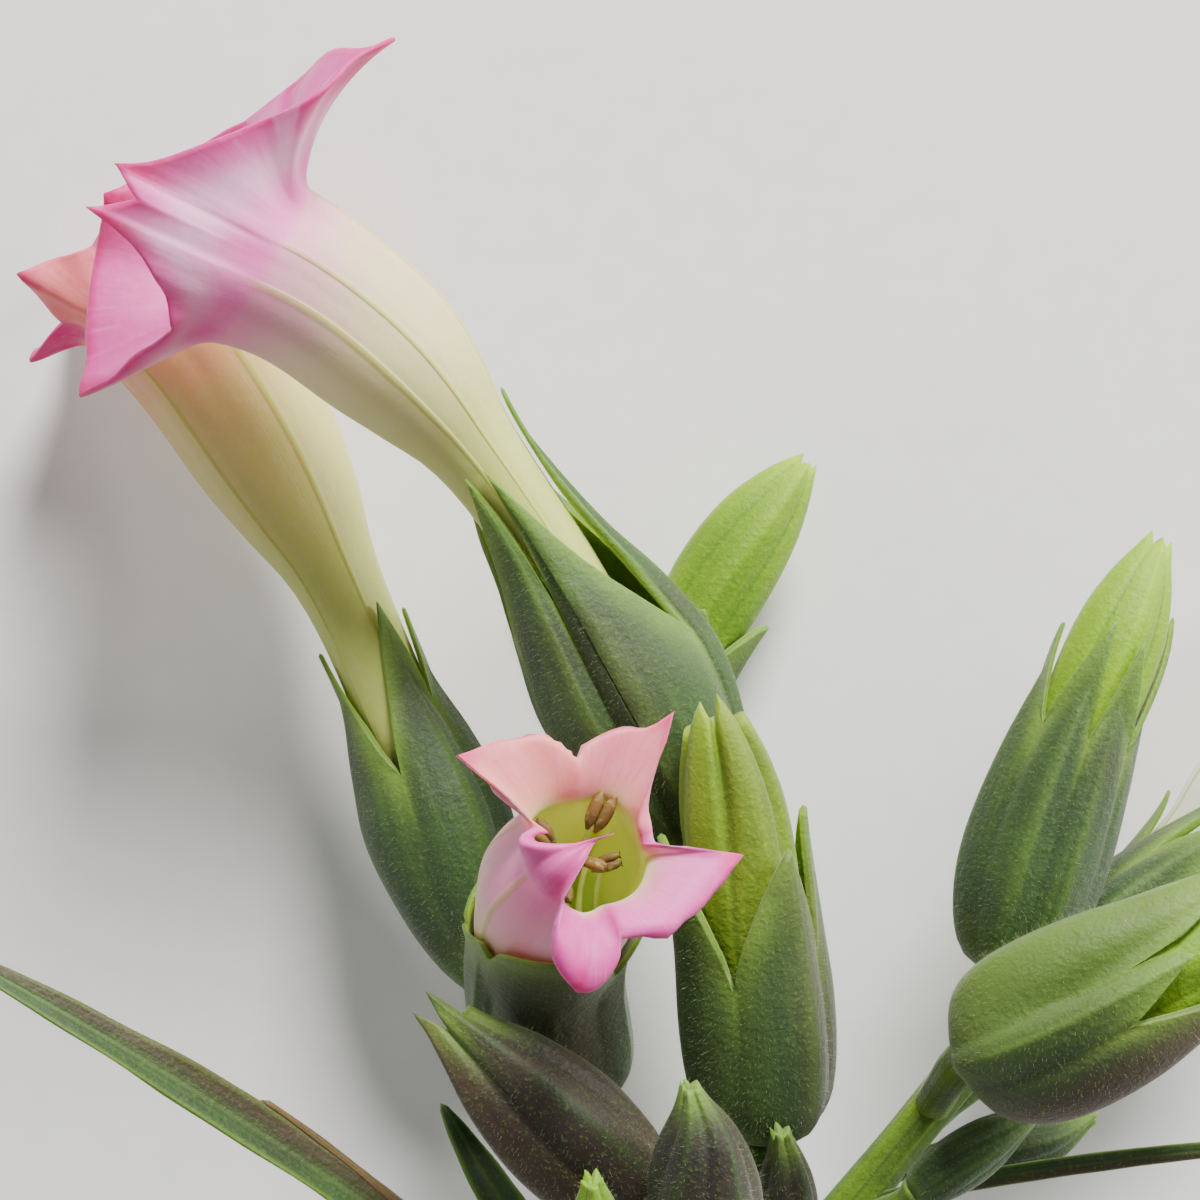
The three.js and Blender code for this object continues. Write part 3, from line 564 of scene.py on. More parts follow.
def round_limb(axis, radii, relief, seed, rows, flare=0.0, sides=LIMB_SIDES, hair=0.8):
    """A round tapering stalk with faint ridges, a flared end and slightly closed ends."""
    rng = np.random.default_rng(seed)
    turns = np.arange(sides) * 360 / sides
    t = np.linspace(0, 1, rows)[:, None]
    ridges = waves(rng, turns + 25 * t, (5, 7, 11)) * 0.05 * relief
    swell = waves(rng, 360 * t, (2, 3)) * 0.03 * relief
    radius = mix(*radii, t) * (1 + ridges + swell) + flare * rise(t, 0.8, 1)
    close = np.ones_like(t)
    close[0] = close[-1] = 0.82
    rings = axis.place(t, turns, radius * close)
    values = {
        "along": t,
        "nearness": 0.5 + 0.5 * waves(rng, turns, (5,)),
        "inside": 0.0,
        "margin": 0.0,
        "dusk": 0.0,
        "flow": flow(turns, t),
        "hair": hair,
    }
    return rings, (axis.point(0), axis.point(1)), values


BLADE_MIDRIB = 0.14
BLADE_VEIN = 0.05
BLADE_RIPPLE = 0.16


def blade(axis, shape, relief, seed):
    """A narrow leaf, folded along its midrib, wavy at its edges, that ends in a point."""
    rng = np.random.default_rng(seed)
    across = np.linspace(-1, 1, BLADE_COLUMNS)
    x = np.concatenate([across, across[1:-1][::-1]])
    over = np.repeat([0.0, 1.0], [BLADE_COLUMNS, BLADE_COLUMNS - 2])
    t = np.linspace(0, 0.985, BLADE_RINGS)[:, None]
    half = smooth(shape["half_width"], t)
    midrib = relief * BLADE_MIDRIB * bell(x, 0.13) * (1 - over) * rise(half, 0.1, 0.8)
    vein = relief * BLADE_VEIN * bell(x, 0.1) * over
    ripple = relief * BLADE_RIPPLE * half * np.sign(x) * np.abs(x) ** 3 * waves(rng, 360 * t, (3, 5, 8))
    thick = shape["thick"] * 0.62 * (1 - 0.75 * np.abs(x) ** 2)
    height = shape["fold"] * np.abs(x) ** 1.4 * half + over * thick - midrib - vein + ripple
    turn = np.degrees(np.arctan2(height, x * half)) + shape["roll"]
    rings = axis.place(t, turn, np.hypot(x * half, height))
    values = {
        "along": t,
        "nearness": 1 - np.abs(x),
        "inside": 0.0,
        "margin": bell(1 - np.abs(x), 0.2),
        # Painted shade darkens one half of the blade across its width.
        "dusk": shape.get("dusk", 0.0) * rise(-x, -0.1, 0.6),
        "flow": stacked(x, over, t),
        "hair": 0.6,
    }
    return rings, (axis.point(0), axis.point(1)), values


# Node maths and finishes

class Value:
    """One socket. Python sums on it add Math nodes."""

    def __init__(self, maker, socket):
        self.maker = maker
        self.socket = socket

    def __add__(self, other):
        return self.maker.math("ADD", self, other)

    __radd__ = __add__

    def __sub__(self, other):
        return self.maker.math("SUBTRACT", self, other)

    def __rsub__(self, other):
        return self.maker.math("SUBTRACT", other, self)

    def __mul__(self, other):
        return self.maker.math("MULTIPLY", self, other)

    __rmul__ = __mul__


class NodeMaker:
    """Adds nodes to a tree of either kind."""

    def __init__(self, tree):
        self.tree = tree

    def node(self, kind, settings=None, inputs=None):
        """Any node: its settings first, then the values or links of its sockets."""
        node = self.tree.nodes.new(kind)
        for key, value in (settings or {}).items():
            if key == "stops":
                self.set_stops(node.color_ramp, value)
            else:
                setattr(node, key, value)
        for key, value in (inputs or {}).items():
            if isinstance(value, Value):
                self.tree.links.new(value.socket, node.inputs[key])
            else:
                node.inputs[key].default_value = value
        return node

    @staticmethod
    def set_stops(ramp, stops):
        ramp.interpolation = "B_SPLINE"
        while len(ramp.elements) < len(stops):
            ramp.elements.new(0.5)
        for element, (position, shade) in zip(ramp.elements, stops):
            element.position = position
            element.color = (*shade, 1)

    def output(self, output, kind, settings=None, inputs=None):
        """One output of a new node, by its name or number."""
        return Value(self, self.node(kind, settings, inputs).outputs[output])

    def math(self, operation, *values):
        return self.output(0, "ShaderNodeMath", {"operation": operation}, dict(enumerate(values)))


class Finish(NodeMaker):
    """A node material under construction."""

    def __init__(self, name):
        self.material = bpy.data.materials.new(name)
        self.material.use_nodes = True
        super().__init__(self.material.node_tree)
        self.tree.nodes.clear()

    def attribute(self, name, output="Fac"):
        return self.output(output, "ShaderNodeAttribute", {"attribute_name": name})

    def place(self):
        return self.output("Object", "ShaderNodeTexCoord")

    def stretch(self, vector, factors):
        return self.output(0, "ShaderNodeVectorMath", {"operation": "MULTIPLY"}, {0: vector, 1: factors})

    def noise(self, vector, scale, detail=2.0, roughness=0.5):
        inputs = {"Vector": vector, "Scale": scale, "Detail": detail, "Roughness": roughness}
        return self.output(0, "ShaderNodeTexNoise", inputs=inputs)

    def step(self, value, low, high):
        inputs = {"Value": value, "From Min": low, "From Max": high}
        return self.output("Result", "ShaderNodeMapRange", {"interpolation_type": "SMOOTHSTEP"}, inputs)

    def ramp(self, value, stops):
        return self.output("Color", "ShaderNodeValToRGB", {"stops": stops}, {"Fac": value})

    def blend(self, share, first, second):
        """A mix of two colours, each a socket or plain red, green and blue."""
        shades = [shade if isinstance(shade, Value) else (*shade, 1) for shade in (first, second)]
        return self.output(2, "ShaderNodeMix", {"data_type": "RGBA"}, {0: share, 6: shades[0], 7: shades[1]})

    def layers(self, skin, coats):
        """Colours over a skin, one after another: the share of each and its colour."""
        for share, shade in coats:
            skin = self.blend(share, skin, shade)
        return skin

    def bump(self, height, strength, distance):
        inputs = {"Height": height, "Strength": strength, "Distance": distance}
        return self.output("Normal", "ShaderNodeBump", inputs=inputs)

    def done(self, base, roughness, normal, **constants):
        """Closes the material with a Principled shader. The constants go on its own sockets."""
        inputs = {"Base Color": base, "Roughness": roughness}
        if normal is not None:
            inputs["Normal"] = normal
        inputs.update({key.replace("_", " "): value for key, value in constants.items()})
        surface = self.output("BSDF", "ShaderNodeBsdfPrincipled", inputs=inputs)
        self.node("ShaderNodeOutputMaterial", inputs={"Surface": surface})
        return self.material


def petal_finish(name, tones, outer_stops, inner_stops, streaks):
    """Petal skin. Stops run from the tube's foot at 0 over the throat at 0.5 to the rim at 1."""
    finish = Finish(name)
    along, near, inside, warm = (finish.attribute(key) for key in ("along", "nearness", "inside", "warm"))
    flowing = finish.attribute("flow", "Vector")
    place = finish.place()
    patches = finish.noise(place, 110, 3)
    grain = finish.noise(place, 1500, 3)
    fine = finish.noise(finish.stretch(flowing, (22, 22, 1.6)), 1, 3, 0.6)
    drift = along * 0.5 + (patches - 0.5) * 0.14
    outer, inner = (finish.ramp(drift, [(stop, tones[key]) for stop, key in stops])
                    for stops in (outer_stops, inner_stops))
    on_limb = finish.step(along, 0.94, 1.3)
    # Painted shade: the folds near the notches between the lobes on the limb are tinted rose, in patches.
    valley = finish.step(near, 0.75, 0.1) * finish.step(along, 0.8, 1.25) * finish.step(along, 1.95, 1.4)
    streak = finish.step(fine, 0.5, 0.75) * finish.step(along, 0.85, 1.3)
    pale_streak = finish.step(finish.noise(finish.stretch(flowing, (31, 31, 2.4)), 1, 2), 0.55, 0.8)
    midrib = finish.step(near, 0.88, 0.98) * finish.step(along, 1.3, 0.8) * finish.step(along, 0.2, 0.5)
    tip = finish.step(finish.step(along, 1.0, 2.0) * near, 0.72, 1.0)
    rim = finish.step(along, 1.9, 1.99)
    skin = finish.layers(finish.blend(finish.step(inside, 0.3, 0.7), outer, inner), [
        (valley * finish.step(patches, 0.3, 0.6) * 0.75, tones["rose"]),
        (finish.step(warm, 0.0, 1.0) * on_limb * 0.7, tones["salmon"]),
        (finish.step(warm, 0.0, -1.0) * on_limb * 0.9, tones["rose"]),
        (streak * streaks, tones["deep"]),
        (pale_streak * 0.12, tones["white"]),
        (midrib * 0.7, tones["vein"]),
        (finish.math("MAXIMUM", tip, rim * 0.5) * 0.8, tones["deep"]),
        (finish.step(grain, 0.45, 0.8) * 0.08, tones["white"]),
    ])
    height = fine * 0.12 + grain * 0.25 + midrib * 0.4 + finish.noise(place, 520, 2) * 0.5
    glow = bpy.context.scene.cutting_sizes.petal_glow
    return finish.done(skin, 0.5 + (grain - 0.5) * 0.2, finish.bump(height, 0.5, 0.0002), Sheen_Weight=0.1,
                       Sheen_Roughness=0.4, Subsurface_Weight=glow, Subsurface_Radius=(1.0, 0.55, 0.5),
                       Subsurface_Scale=0.0012, Specular_IOR_Level=0.32)


def sepal_finish(name, tones, shaded=0.5, margin_share=0.8, keel_share=0.22, streaks=0.16):
    """Calyx skin: softly mottled green, with lighter keels, bright margins, painted shade in the sunken
    seams, painted light on the inner faces, and a side painted darker as shade.
    """
    finish = Finish(name)
    along, near, inside, margin, dusk = (finish.attribute(key) for key in
                                         ("along", "nearness", "inside", "margin", "dusk"))
    flowing = finish.attribute("flow", "Vector")
    place = finish.place()
    patches = finish.noise(place, 170, 3, 0.55)
    runs = finish.noise(finish.stretch(flowing, (4, 4, 1.6)), 1, 2, 0.5)
    dots = finish.noise(place, 3600, 2)
    keel = finish.step(near, 0.72, 1.0) * finish.step(along, 0.04, 0.2)
    seam = finish.step(near, 0.16, 0.0) * finish.step(along, 0.02, 0.14)
    cast = finish.step(finish.noise(place, 80, 2), 0.46, 0.68)
    skin = finish.layers(tones["body"], [
        (finish.step(patches, 0.36, 0.66) * shaded, tones["dark"]),
        (finish.step(runs, 0.48, 0.74) * streaks, tones["light"]),
        (keel * keel_share, tones["light"]),
        # Painted shade darkens the sunken seams below the notches.
        (seam * 0.5, tones["dark"]),
        (cast * 0.4, tones["cast"]),
        (margin * margin_share * finish.step(patches, 0.1, 0.5), tones["margin"]),
        (finish.step(along, 0.16, 0.0) * 0.45, tones["light"]),
        # Painted light: the inner faces of the cup are made pale, standing for light that reaches into its
        # shaded hollow.
        (finish.step(inside, 0.5, 0.9) * 0.8, tones["lit"]),
        # Painted shade tints one side purplish brown, and painted light lightens the rest.
        (finish.math("MAXIMUM", dusk, 0.0), tones["dusk"]),
        (finish.math("MAXIMUM", dusk * -1, 0.0), tones["light"]),
        (finish.step(dots, 0.56, 0.72) * 0.24, tones["margin"]),
    ])
    height = patches * 0.5 + runs * 0.35 + dots * 0.35 + finish.noise(place, 1400, 3) * 0.45
    glow = bpy.context.scene.cutting_sizes.leaf_glow
    return finish.done(skin, 0.62 + (dots - 0.5) * 0.3, finish.bump(height, 0.6, 0.00028), Sheen_Weight=0.12,
                       Sheen_Roughness=0.45, Subsurface_Weight=glow, Subsurface_Radius=(0.6, 1.0, 0.25),
                       Subsurface_Scale=0.0008, Specular_IOR_Level=0.4)


def thread_finish(name, body, dark, light):
    """Stamen threads and pollen-bearing anthers."""
    finish = Finish(name)
    place = finish.place()
    grain = finish.noise(place, 2600, 3)
    patches = finish.noise(place, 700, 2)
    skin = finish.layers(body, [
        (finish.step(patches, 0.4, 0.65) * 0.6, dark),
        (finish.step(grain, 0.52, 0.75) * 0.2, light),
    ])
    normal = finish.bump(grain * 0.6 + patches * 0.4, 0.6, 0.00012)
    return finish.done(skin, 0.55 + (grain - 0.5) * 0.3, normal, Specular_IOR_Level=0.35)


def hair_finish(name, shade):
    """Glassy hairs, a little varied in tone along the plant."""
    finish = Finish(name)
    patches = finish.noise(finish.place(), 1200, 1)
    skin = finish.blend(finish.step(patches, 0.3, 0.8) * 0.35, shade, HAIR_LIGHT)
    return finish.done(skin, 0.35 + patches * 0.1, None, Specular_IOR_Level=0.6)


def floor_finish(name, shade):
    """Plain paper with a faint grain."""
    finish = Finish(name)
    fine = finish.noise(finish.place(), 420, 3)
    skin = finish.blend(finish.step(fine, 0.35, 0.65) * 0.08, shade, FLOOR_GRAIN)
    return finish.done(skin, 0.85 + (fine - 0.5) * 0.05, finish.bump(fine, 0.1, 0.0002))


# The blooms, in millimetres and degrees, as in the part's source.
# An axis is its foot, bend and top. A stalk is its start, how far it runs straight below the bloom, and
# its radii at both ends. A radius is a list of (share of the axis, radius).
# A lobe is its turn, reach and forward place, then what it has of its own: the turn and the place of the
# notch after it, how round its two margins are, a tail at its tip, a dip in a margin and a warm tint.
# A tooth of a calyx is its turn and its end as a share of the axis, then what it has of its own: the turn
# of the notch after it, its gap (the notch's place), its seam's depth and how round its two margins are.
# A tip of a bud is its turn, its end and, where it has one of its own, its gap.
# Painted shading is the turn, width and strength of a side painted darker as shade, then the tint of the
# rest, which paints light where it is below 0.

FLOWER_TUBE = [(0.04, 0.9), (0.1, 1.6), (0.3, 2.4), (0.44, 2.5), (0.52, 2.85), (0.6, 3.8), (0.7, 4.6),
               (0.86, 4.9), (1, 5.3)]
FLOWER_CUP = [(0, 1.3), (0.04, 3.4), (0.1, 5), (0.19, 5.9), (0.27, 5), (0.35, 3.65), (0.45, 2.9), (0.6, 2.7)]


def scaled(stations, factor):
    return [(place, radius * factor) for place, radius in stations]


def even_tips(first_turn, ends):
    return [(first_turn + index * 360 / len(ends), end) for index, end in enumerate(ends)]


LONG_TUBE = {"radius": FLOWER_TUBE, "from": 0.04, "floor": 0.2, "pleat": 0.03, "spread": (0.4, 0.2)}
YOUNG_CROWN = even_tips(0, [1, 0.98, 0.96, 0.98, 1])
YOUNG_BODY = [(0, 0.95), (0.08, 1.5), (0.35, 1.9), (0.6, 1.7), (0.85, 0.9), (1, 0.35)]

FLOWERS = {
    "upper_flower": {
        "axis": ([4.2, 52.9, 15], [-10.9, 84.6, 23.4], [-23.6, 88.8, 25]),
        "stalk": ([-0.4, 32.6, 14.9], 11, (1, 1.15)),
        "calyx": {
            "radius": FLOWER_CUP, "rib": 0.04, "gap": 0.26, "floor": 0.025, "spread": 0.08,
            "tips": [(68, 0.487, {"notch": 77, "gap": 0.3, "rounding": (0.8, 0.8)}),
                     (90, 0.48, {"notch": 164, "gap": 0.21, "rounding": (0.8, 1.5)}),
                     (176, 0.54, {"rounding": (0.5, 0.65)}), (245, 0.47), (316, 0.44)],
        },
        "corolla": {
            **LONG_TUBE, "gap": (8, 2.5), "point": 1.25, "slant": (150, 0.07), "ease": 1.6, "wave": 0.4,
            "lobes": [
                (352, 11.3, 6.4, {"gap": (6, 3), "notch": 36, "point": (1.2, 1.2), "tail": (0.1, 0.1)}),
                (88, 5.4, 10.8, {"gap": (6.2, 8.6), "notch": 103, "point": (1.6, 1), "tail": (0.3, 0.1)}),
                (115, 5.8, 10.7, {"gap": (10.4, 4.1), "notch": 147, "point": (0.8, 0.95),
                                  "tail": (0.1, 0.1)}),
                (169, 15.8, 0, {"gap": (7.4, 4.6), "notch": 203, "point": (0.42, 0.42), "tail": (0.2, 0.2),
                                "spread": (-0.6, 2.6)}),
                (272, 5, 9.2, {"gap": (10.2, 6.6), "notch": 337, "point": (1.2, 0.6), "tail": (0.1, 0.1)}),
            ],
        },
    },
    "left_flower": {
        "axis": ([-9.4, 44.9, 11], [-18.3, 74.2, 9.9], [-30.3, 87.9, 8.6]),
        "stalk": ([0.2, 23.5, 11.6], 6, (1.1, 1.15)),
        "calyx": {
            "radius": scaled(FLOWER_CUP, 0.74), "rib": 0.04, "gap": 0.25, "floor": 0.025, "spread": 0.08,
            "tips": [(10, 0.42, {"notch": 80, "rounding": (0.65, 1)}),
                     (130, 0.447, {"notch": 150, "gap": 0.3, "rounding": (0.7, 0.6)}),
                     (182, 0.43), (250, 0.44), (310, 0.43)],
        },
        "corolla": {
            **LONG_TUBE, "gap": (6.9, 2), "point": 1.3,
            "lobes": [
                (5, 8.6, 1.9, {"gap": (6.3, 1.8), "warm": -0.9}),
                (52, 7.4, 5.4, {"gap": (6, 3.6), "warm": 0.9}),
                (118, 5.8, 5, {"gap": (6.8, 2.4), "warm": 0.4}),
                (200, 9, 2.5, {"gap": (7, 2.2), "warm": 0.4}),
                (292, 8.9, 6.2, {"gap": (7, 3), "warm": 0.4}),
            ],
        },
    },
    "small_flower": {
        "axis": ([-4.2, 38.5, 15.5], [-8.6, 48.4, 20], [-3.8, 54.9, 35]),
        "stalk": ([-0.2, 27.5, 12.9], 5, (0.95, 1.1)),
        "calyx": {
            "radius": [(0, 1.3), (0.04, 2.9), (0.12, 4.2), (0.25, 4.7), (0.45, 4.7), (0.65, 4.7), (0.9, 4.7)],
            "rib": 0.02, "gap": 0.74, "floor": 0.03, "spread": 0.05, "rounding": 0.8,
            "dusk": (330, 45, 0.45, 0.0),
            "tips": [(30, 0.8, {"gap": 0.62}), (104, 0.72, {"gap": 0.6}), (180, 0.68, {"gap": 0.64}),
                     (261, 0.77, {"notch": 271, "gap": 0.75, "rounding": (1.2, 0.8)}),
                     (322, 0.88, {"notch": 2, "gap": 0.7, "rounding": (0.4, 0.5)})],
        },
        "corolla": {
            "radius": [(0.06, 1), (0.12, 2.2), (0.3, 3.1), (0.5, 3.75), (0.66, 4.35), (0.78, 4.7),
                       (0.88, 4.7), (1, 3.8)],
            "from": 0.06, "floor": 0.46, "pleat": 0.03, "spread": (1.2, 1.2), "gap": (4.2, 1.2), "point": 1.1,
            "wave": 0.4, "fold": 0.6, "ease": 1.0,
            "lobes": [
                (50, 8.7, 1.6, {"gap": (2.9, 1.4), "notch": 58, "point": (1, 3.5), "tail": (0.3, 0),
                                "warm": -0.6}),
                (110, 8.7, 3.5, {"gap": (4.5, 1.4), "notch": 150, "point": (4.3, 0.5), "tail": (0, 0.35),
                                 "warm": 0.7}),
                (205, 9.1, 3.5, {"gap": (2.6, 1.6), "notch": 219, "point": (0.75, 2.2), "tail": (0.1, 0),
                                 "warm": 1}),
                (254, -1, 2.4, {"gap": (2, 3), "notch": 289, "point": (1.5, 0.5), "spread": (2.6, 2.9),
                                "dip": (1.6, 0), "warm": -0.5}),
                (314, 8, 0.2, {"gap": (5.2, 1.2), "notch": 335, "point": (0.45, 0.4), "spread": (1, 1.8),
                               "dip": (0.6, 0.3), "warm": -1}),
            ],
        },
    },
    "right_flower": {
        "axis": ([24.8, 44.2, 5.7], [32.2, 53.6, 4.7], [45.6, 64.3, 6.5]),
        "stalk": ([15.2, 36.5, 14.6], 5, (0.95, 1)),
        "calyx": {
            "radius": scaled(FLOWER_CUP, 0.64), "rib": 0.05, "gap": 0.3, "floor": 0.03, "spread": 0.2,
            "tips": [(10, 0.5), (82, 0.52), (154, 0.5), (226, 0.54), (298, 0.5)],
        },
        "corolla": {
            **LONG_TUBE, "radius": scaled(FLOWER_TUBE, 0.86), "gap": (6.4, 1.6), "point": 1.3,
            "lobes": [(30, 8.4, 2.4, {}), (102, 8, 3.4, {}), (174, 8.6, 1.8, {}), (246, 8.6, 2.4, {}),
                      (318, 8.2, 3.2, {})],
        },
    },
}

BUDS = {
    "centre_bud": {
        "axis": ([6.9, 37, 17.8], [6.3, 49.7, 21.5], [3.4, 63, 26]),
        "stalk": ([0.1, 26, 12.3], 4, (1.1, 1.15)),
        "calyx": {
            "radius": [(0, 1.3), (0.04, 3.1), (0.12, 4.1), (0.3, 4.4), (0.5, 4.1), (0.65, 3.9), (0.75, 3.9)],
            "rib": 0.05, "gap": 0.4, "floor": 0.03, "spread": 0.15, "dusk": (140, 45, 0.4, -0.15),
            "tips": [(352, 0.74), (118, 0.7), (182, 0.73), (240, 0.68), (296, 0.68)],
        },
        "corolla": {
            "radius": [(0.06, 1), (0.15, 2.4), (0.4, 2.9), (0.62, 3.2), (0.76, 3.1), (0.85, 2.7),
                       (0.92, 2.15), (0.97, 1.6), (1, 1.05), (1.03, 0.6)],
            "from": 0.06, "gap": 0.945, "rib": 0.02, "open": 0.05, "groove": 0.24, "twist": 14,
            "tips": [(20, 1.02, 0.96), (98, 1.03, 0.965), (160, 0.968, 0.95), (236, 0.95), (300, 0.95)],
            "crown": 1.2, "seam": (0.5, 0.9), "point": 0.55, "dusk": (110, 80, 0.4, 0.05),
        },
    },
    "back_bud": {
        "axis": ([-0.5, 58.7, 5.2], [3.2, 70.2, 4.8], [10, 77.8, 6]),
        "stalk": ([0.5, 20, 10.2], 20, (0.95, 1)),
        "calyx": {
            "radius": [(0, 1.2), (0.05, 2.6), (0.18, 3.5), (0.35, 3.6), (0.5, 3.5), (0.7, 3.4)],
            "rib": 0.05, "gap": 0.3, "floor": 0.03, "spread": 0.3,
            "tips": even_tips(0, [0.5, 0.46, 0.44, 0.46, 0.46]),
        },
        "corolla": {
            "radius": [(0.07, 0.9), (0.16, 2.1), (0.36, 2.7), (0.55, 3), (0.75, 2.6), (0.9, 1.6), (1, 0.5)],
            "from": 0.07, "gap": 0.97, "rib": 0.06, "open": 0.03,
            "tips": even_tips(0, [1, 0.985, 1, 0.985, 0.99]),
        },
    },
    "tall_bud": {
        "axis": ([20.9, 46.8, 18], [23.5, 58.4, 20.5], [30.1, 72.9, 19.5]),
        "stalk": ([18.7, 41, 15.9], 3, (0.95, 1.1)),
        "calyx": {
            "radius": [(0, 1.25), (0.04, 2.7), (0.15, 3.8), (0.3, 4.2), (0.5, 3.8), (0.68, 3), (0.85, 2.2)],
            "rib": 0.04, "gap": 0.57, "floor": 0.03, "spread": 0.05, "rounding": 0.95,
            "tips": [(205, 0.81), (241, 0.79), (318, 0.86), (45, 0.8), (130, 0.77)],
        },
        "corolla": {
            "radius": [(0.06, 0.9), (0.15, 1.9), (0.4, 2.4), (0.65, 2.8), (0.8, 2.7), (0.9, 1.95),
                       (0.96, 1.1), (1, 0.5)],
            "from": 0.06, "gap": 0.975, "rib": 0.05, "tips": even_tips(0, [1, 0.99, 1, 0.985, 0.995]),
        },
    },
    "near_bud": {
        "axis": ([19.2, 42.9, 23], [24.4, 44.9, 29.5], [38.6, 53.5, 27]),
        "stalk": ([16.9, 38.7, 15.5], 1.8, (1.1, 1.3)),
        "calyx": {
            "radius": [(0, 1.4), (0.04, 3.4), (0.13, 4.7), (0.3, 5.3), (0.5, 5.1), (0.66, 4.3), (0.8, 3.6)],
            "rib": 0.05, "gap": 0.5, "floor": 0.03, "spread": 0.05, "rounding": 0.75,
            "dusk": (255, 62, 1.0, -0.45),
            "tips": [(168, 0.69, {"notch": 192, "rounding": (0.3, 0.9)}),
                     (240, 0.8, {"notch": 278, "rounding": (0.7, 0.7)}), (312, 0.76),
                     (20, 0.76, {"notch": 62}),
                     (106, 0.83, {"notch": 152, "gap": 0.55, "depth": 7, "rounding": (0.65, 0.3)})],
        },
        "corolla": {
            "radius": [(0.06, 1), (0.15, 2.6), (0.45, 3.2), (0.65, 3.1), (0.8, 2.6), (0.92, 1.6), (1, 0.8)],
            "from": 0.06, "gap": 0.94, "rib": 0.06, "tips": even_tips(20, [1, 0.98, 1, 0.99, 0.99]),
        },
    },
    "low_bud": {
        "axis": ([25.9, 46.8, 14], [28.3, 51, 14], [41.2, 56.9, 13]),
        "stalk": ([16, 37.6, 15], 6, (0.85, 1)),
        "calyx": {
            "radius": [(0, 1.1), (0.05, 2.3), (0.18, 3), (0.35, 3.2), (0.55, 3), (0.75, 2.6), (0.9, 2.3)],
            "rib": 0.05, "gap": 0.5, "floor": 0.03, "spread": 0.3,
            "tips": even_tips(20, [0.82, 0.78, 0.84, 0.8, 0.8]),
        },
        "corolla": {
            "radius": [(0.07, 0.8), (0.16, 1.7), (0.4, 2), (0.7, 1.9), (0.85, 1.4), (1, 0.6)],
            "from": 0.07, "gap": 0.95, "rib": 0.06, "tips": even_tips(0, [1, 0.98, 1, 0.99, 0.99]),
        },
    },
}

def plain_young_bud(axis, stalk, width=1, **rest):
    """A young bud of the usual shape, its width as a share of the usual one."""
    body = {"radius": scaled(YOUNG_BODY, width), "gap": 0.94, "rib": 0.1, "tips": YOUNG_CROWN}
    return {"axis": axis, "stalk": stalk, "body": body, **rest}


YOUNG_BUDS = {
    "striped_bud": {
        "axis": ([-0.1, 33.9, 22.4], [-6.5, 39.8, 30], [-13.2, 46.4, 29]),
        "stalk": ([-0.3, 30.8, 14.1], 3, (1.1, 1.2)),
        "body": {
            "radius": [(0, 1.3), (0.05, 2.5), (0.2, 3.6), (0.42, 3.8), (0.65, 3), (0.82, 1.8), (0.9, 1.25),
                       (1, 0.7)],
            "tips": [(124, 0.985), (209, 1.005), (280, 0.88), (345, 0.88), (55, 0.88)],
            "gap": 0.87, "rib": 0.08, "groove": 0.1, "keel": 0.03, "open": 0.1, "twist": 6, "crown": 2.6,
            "dusk": (110, 45, 0.6, 0.0),
        },
    },
    "front_bud": {
        "axis": ([3, 29.1, 25.5], [3.2, 36.2, 31], [1.9, 42.2, 33]),
        "stalk": ([0.5, 20.6, 10.4], 3, (1.05, 1.1)),
        "body": {
            "radius": [(0, 1.2), (0.06, 2.2), (0.25, 3.1), (0.45, 3.2), (0.7, 2.3), (0.88, 1), (1, 0.3)],
            "gap": 0.96, "rib": 0.06, "tips": even_tips(36, [1, 0.97, 0.96, 0.97, 0.985]),
            "groove": 0.05, "keel": 0.02, "open": 0.05, "twist": 30,
        },
    },
    "thin_bud": plain_young_bud(([8, 28, 17], [8.5, 33.6, 19], [7.4, 38.4, 23.2]),
                                ([0.4, 23.4, 11.4], 3, (0.9, 0.9)), 0.95),
    "small_bud": plain_young_bud(([-3.4, 27.8, 25], [-3, 33, 31.5], [-3.5, 37, 34]),
                                 ([0.1, 25.6, 12.2], 3, (0.85, 0.9)), green="fresh"),
    "branch_bud_1": plain_young_bud(([15.6, 34, 19.8], [18.6, 36.6, 21], [23.2, 39.2, 20]),
                                    ([11.4, 31.4, 13.4], 2, (0.8, 0.8)), 0.9, green="leaf"),
    "branch_bud_2": plain_young_bud(([19.6, 35.8, 13.8], [23, 35.4, 12.8], [27.2, 38.1, 12]),
                                    ([13.6, 34.2, 14], 2, (0.8, 0.8)), 0.9, green="leaf"),
}

BRACTS = {
    "long_bract": {
        "axis": ([0.4, 18.5, 9.8], [-19.4, 36.2, 16], [-44.1, 49.6, 19]),
        "half_width": [(0, 0.8), (0.3, 1.3), (0.6, 1.5), (0.85, 0.9), (1, 0.15)],
        "thick": 0.6, "fold": 0.5, "roll": 60, "tone": "leaf", "slot": "bract", "dusk": 0.6,
    },
    "dry_bract": {
        "axis": ([0.4, 13.6, 7.8], [-10.2, 30.7, 18.4], [-22.8, 39.9, 23]),
        "half_width": [(0, 0.45), (0.5, 0.5), (1, 0.2)],
        "thick": 0.5, "fold": 0.4, "roll": 90, "tone": "dry", "slot": "dry_bract",
    },
    "right_bract": {
        "axis": ([11.8, 32.2, 13.6], [20.6, 35.6, 18.4], [39.8, 37.4, 21]),
        "half_width": [(0, 0.5), (0.4, 0.6), (0.8, 0.5), (1, 0.15)],
        "thick": 0.55, "fold": 0.3, "roll": 127, "tone": "leaf", "slot": "bract", "dusk": 0.7,
    },
    "dark_bract": {
        "axis": ([0.3, 20.4, 10.4], [-5.8, 27.5, 18.6], [-12.5, 39.1, 17.4]),
        "half_width": [(0, 0.7), (0.4, 1.35), (0.75, 1.25), (0.92, 0.7), (1, 0.2)],
        "thick": 0.6, "fold": 0.25, "roll": 124, "tone": "leaf", "slot": "bract",
    },
}

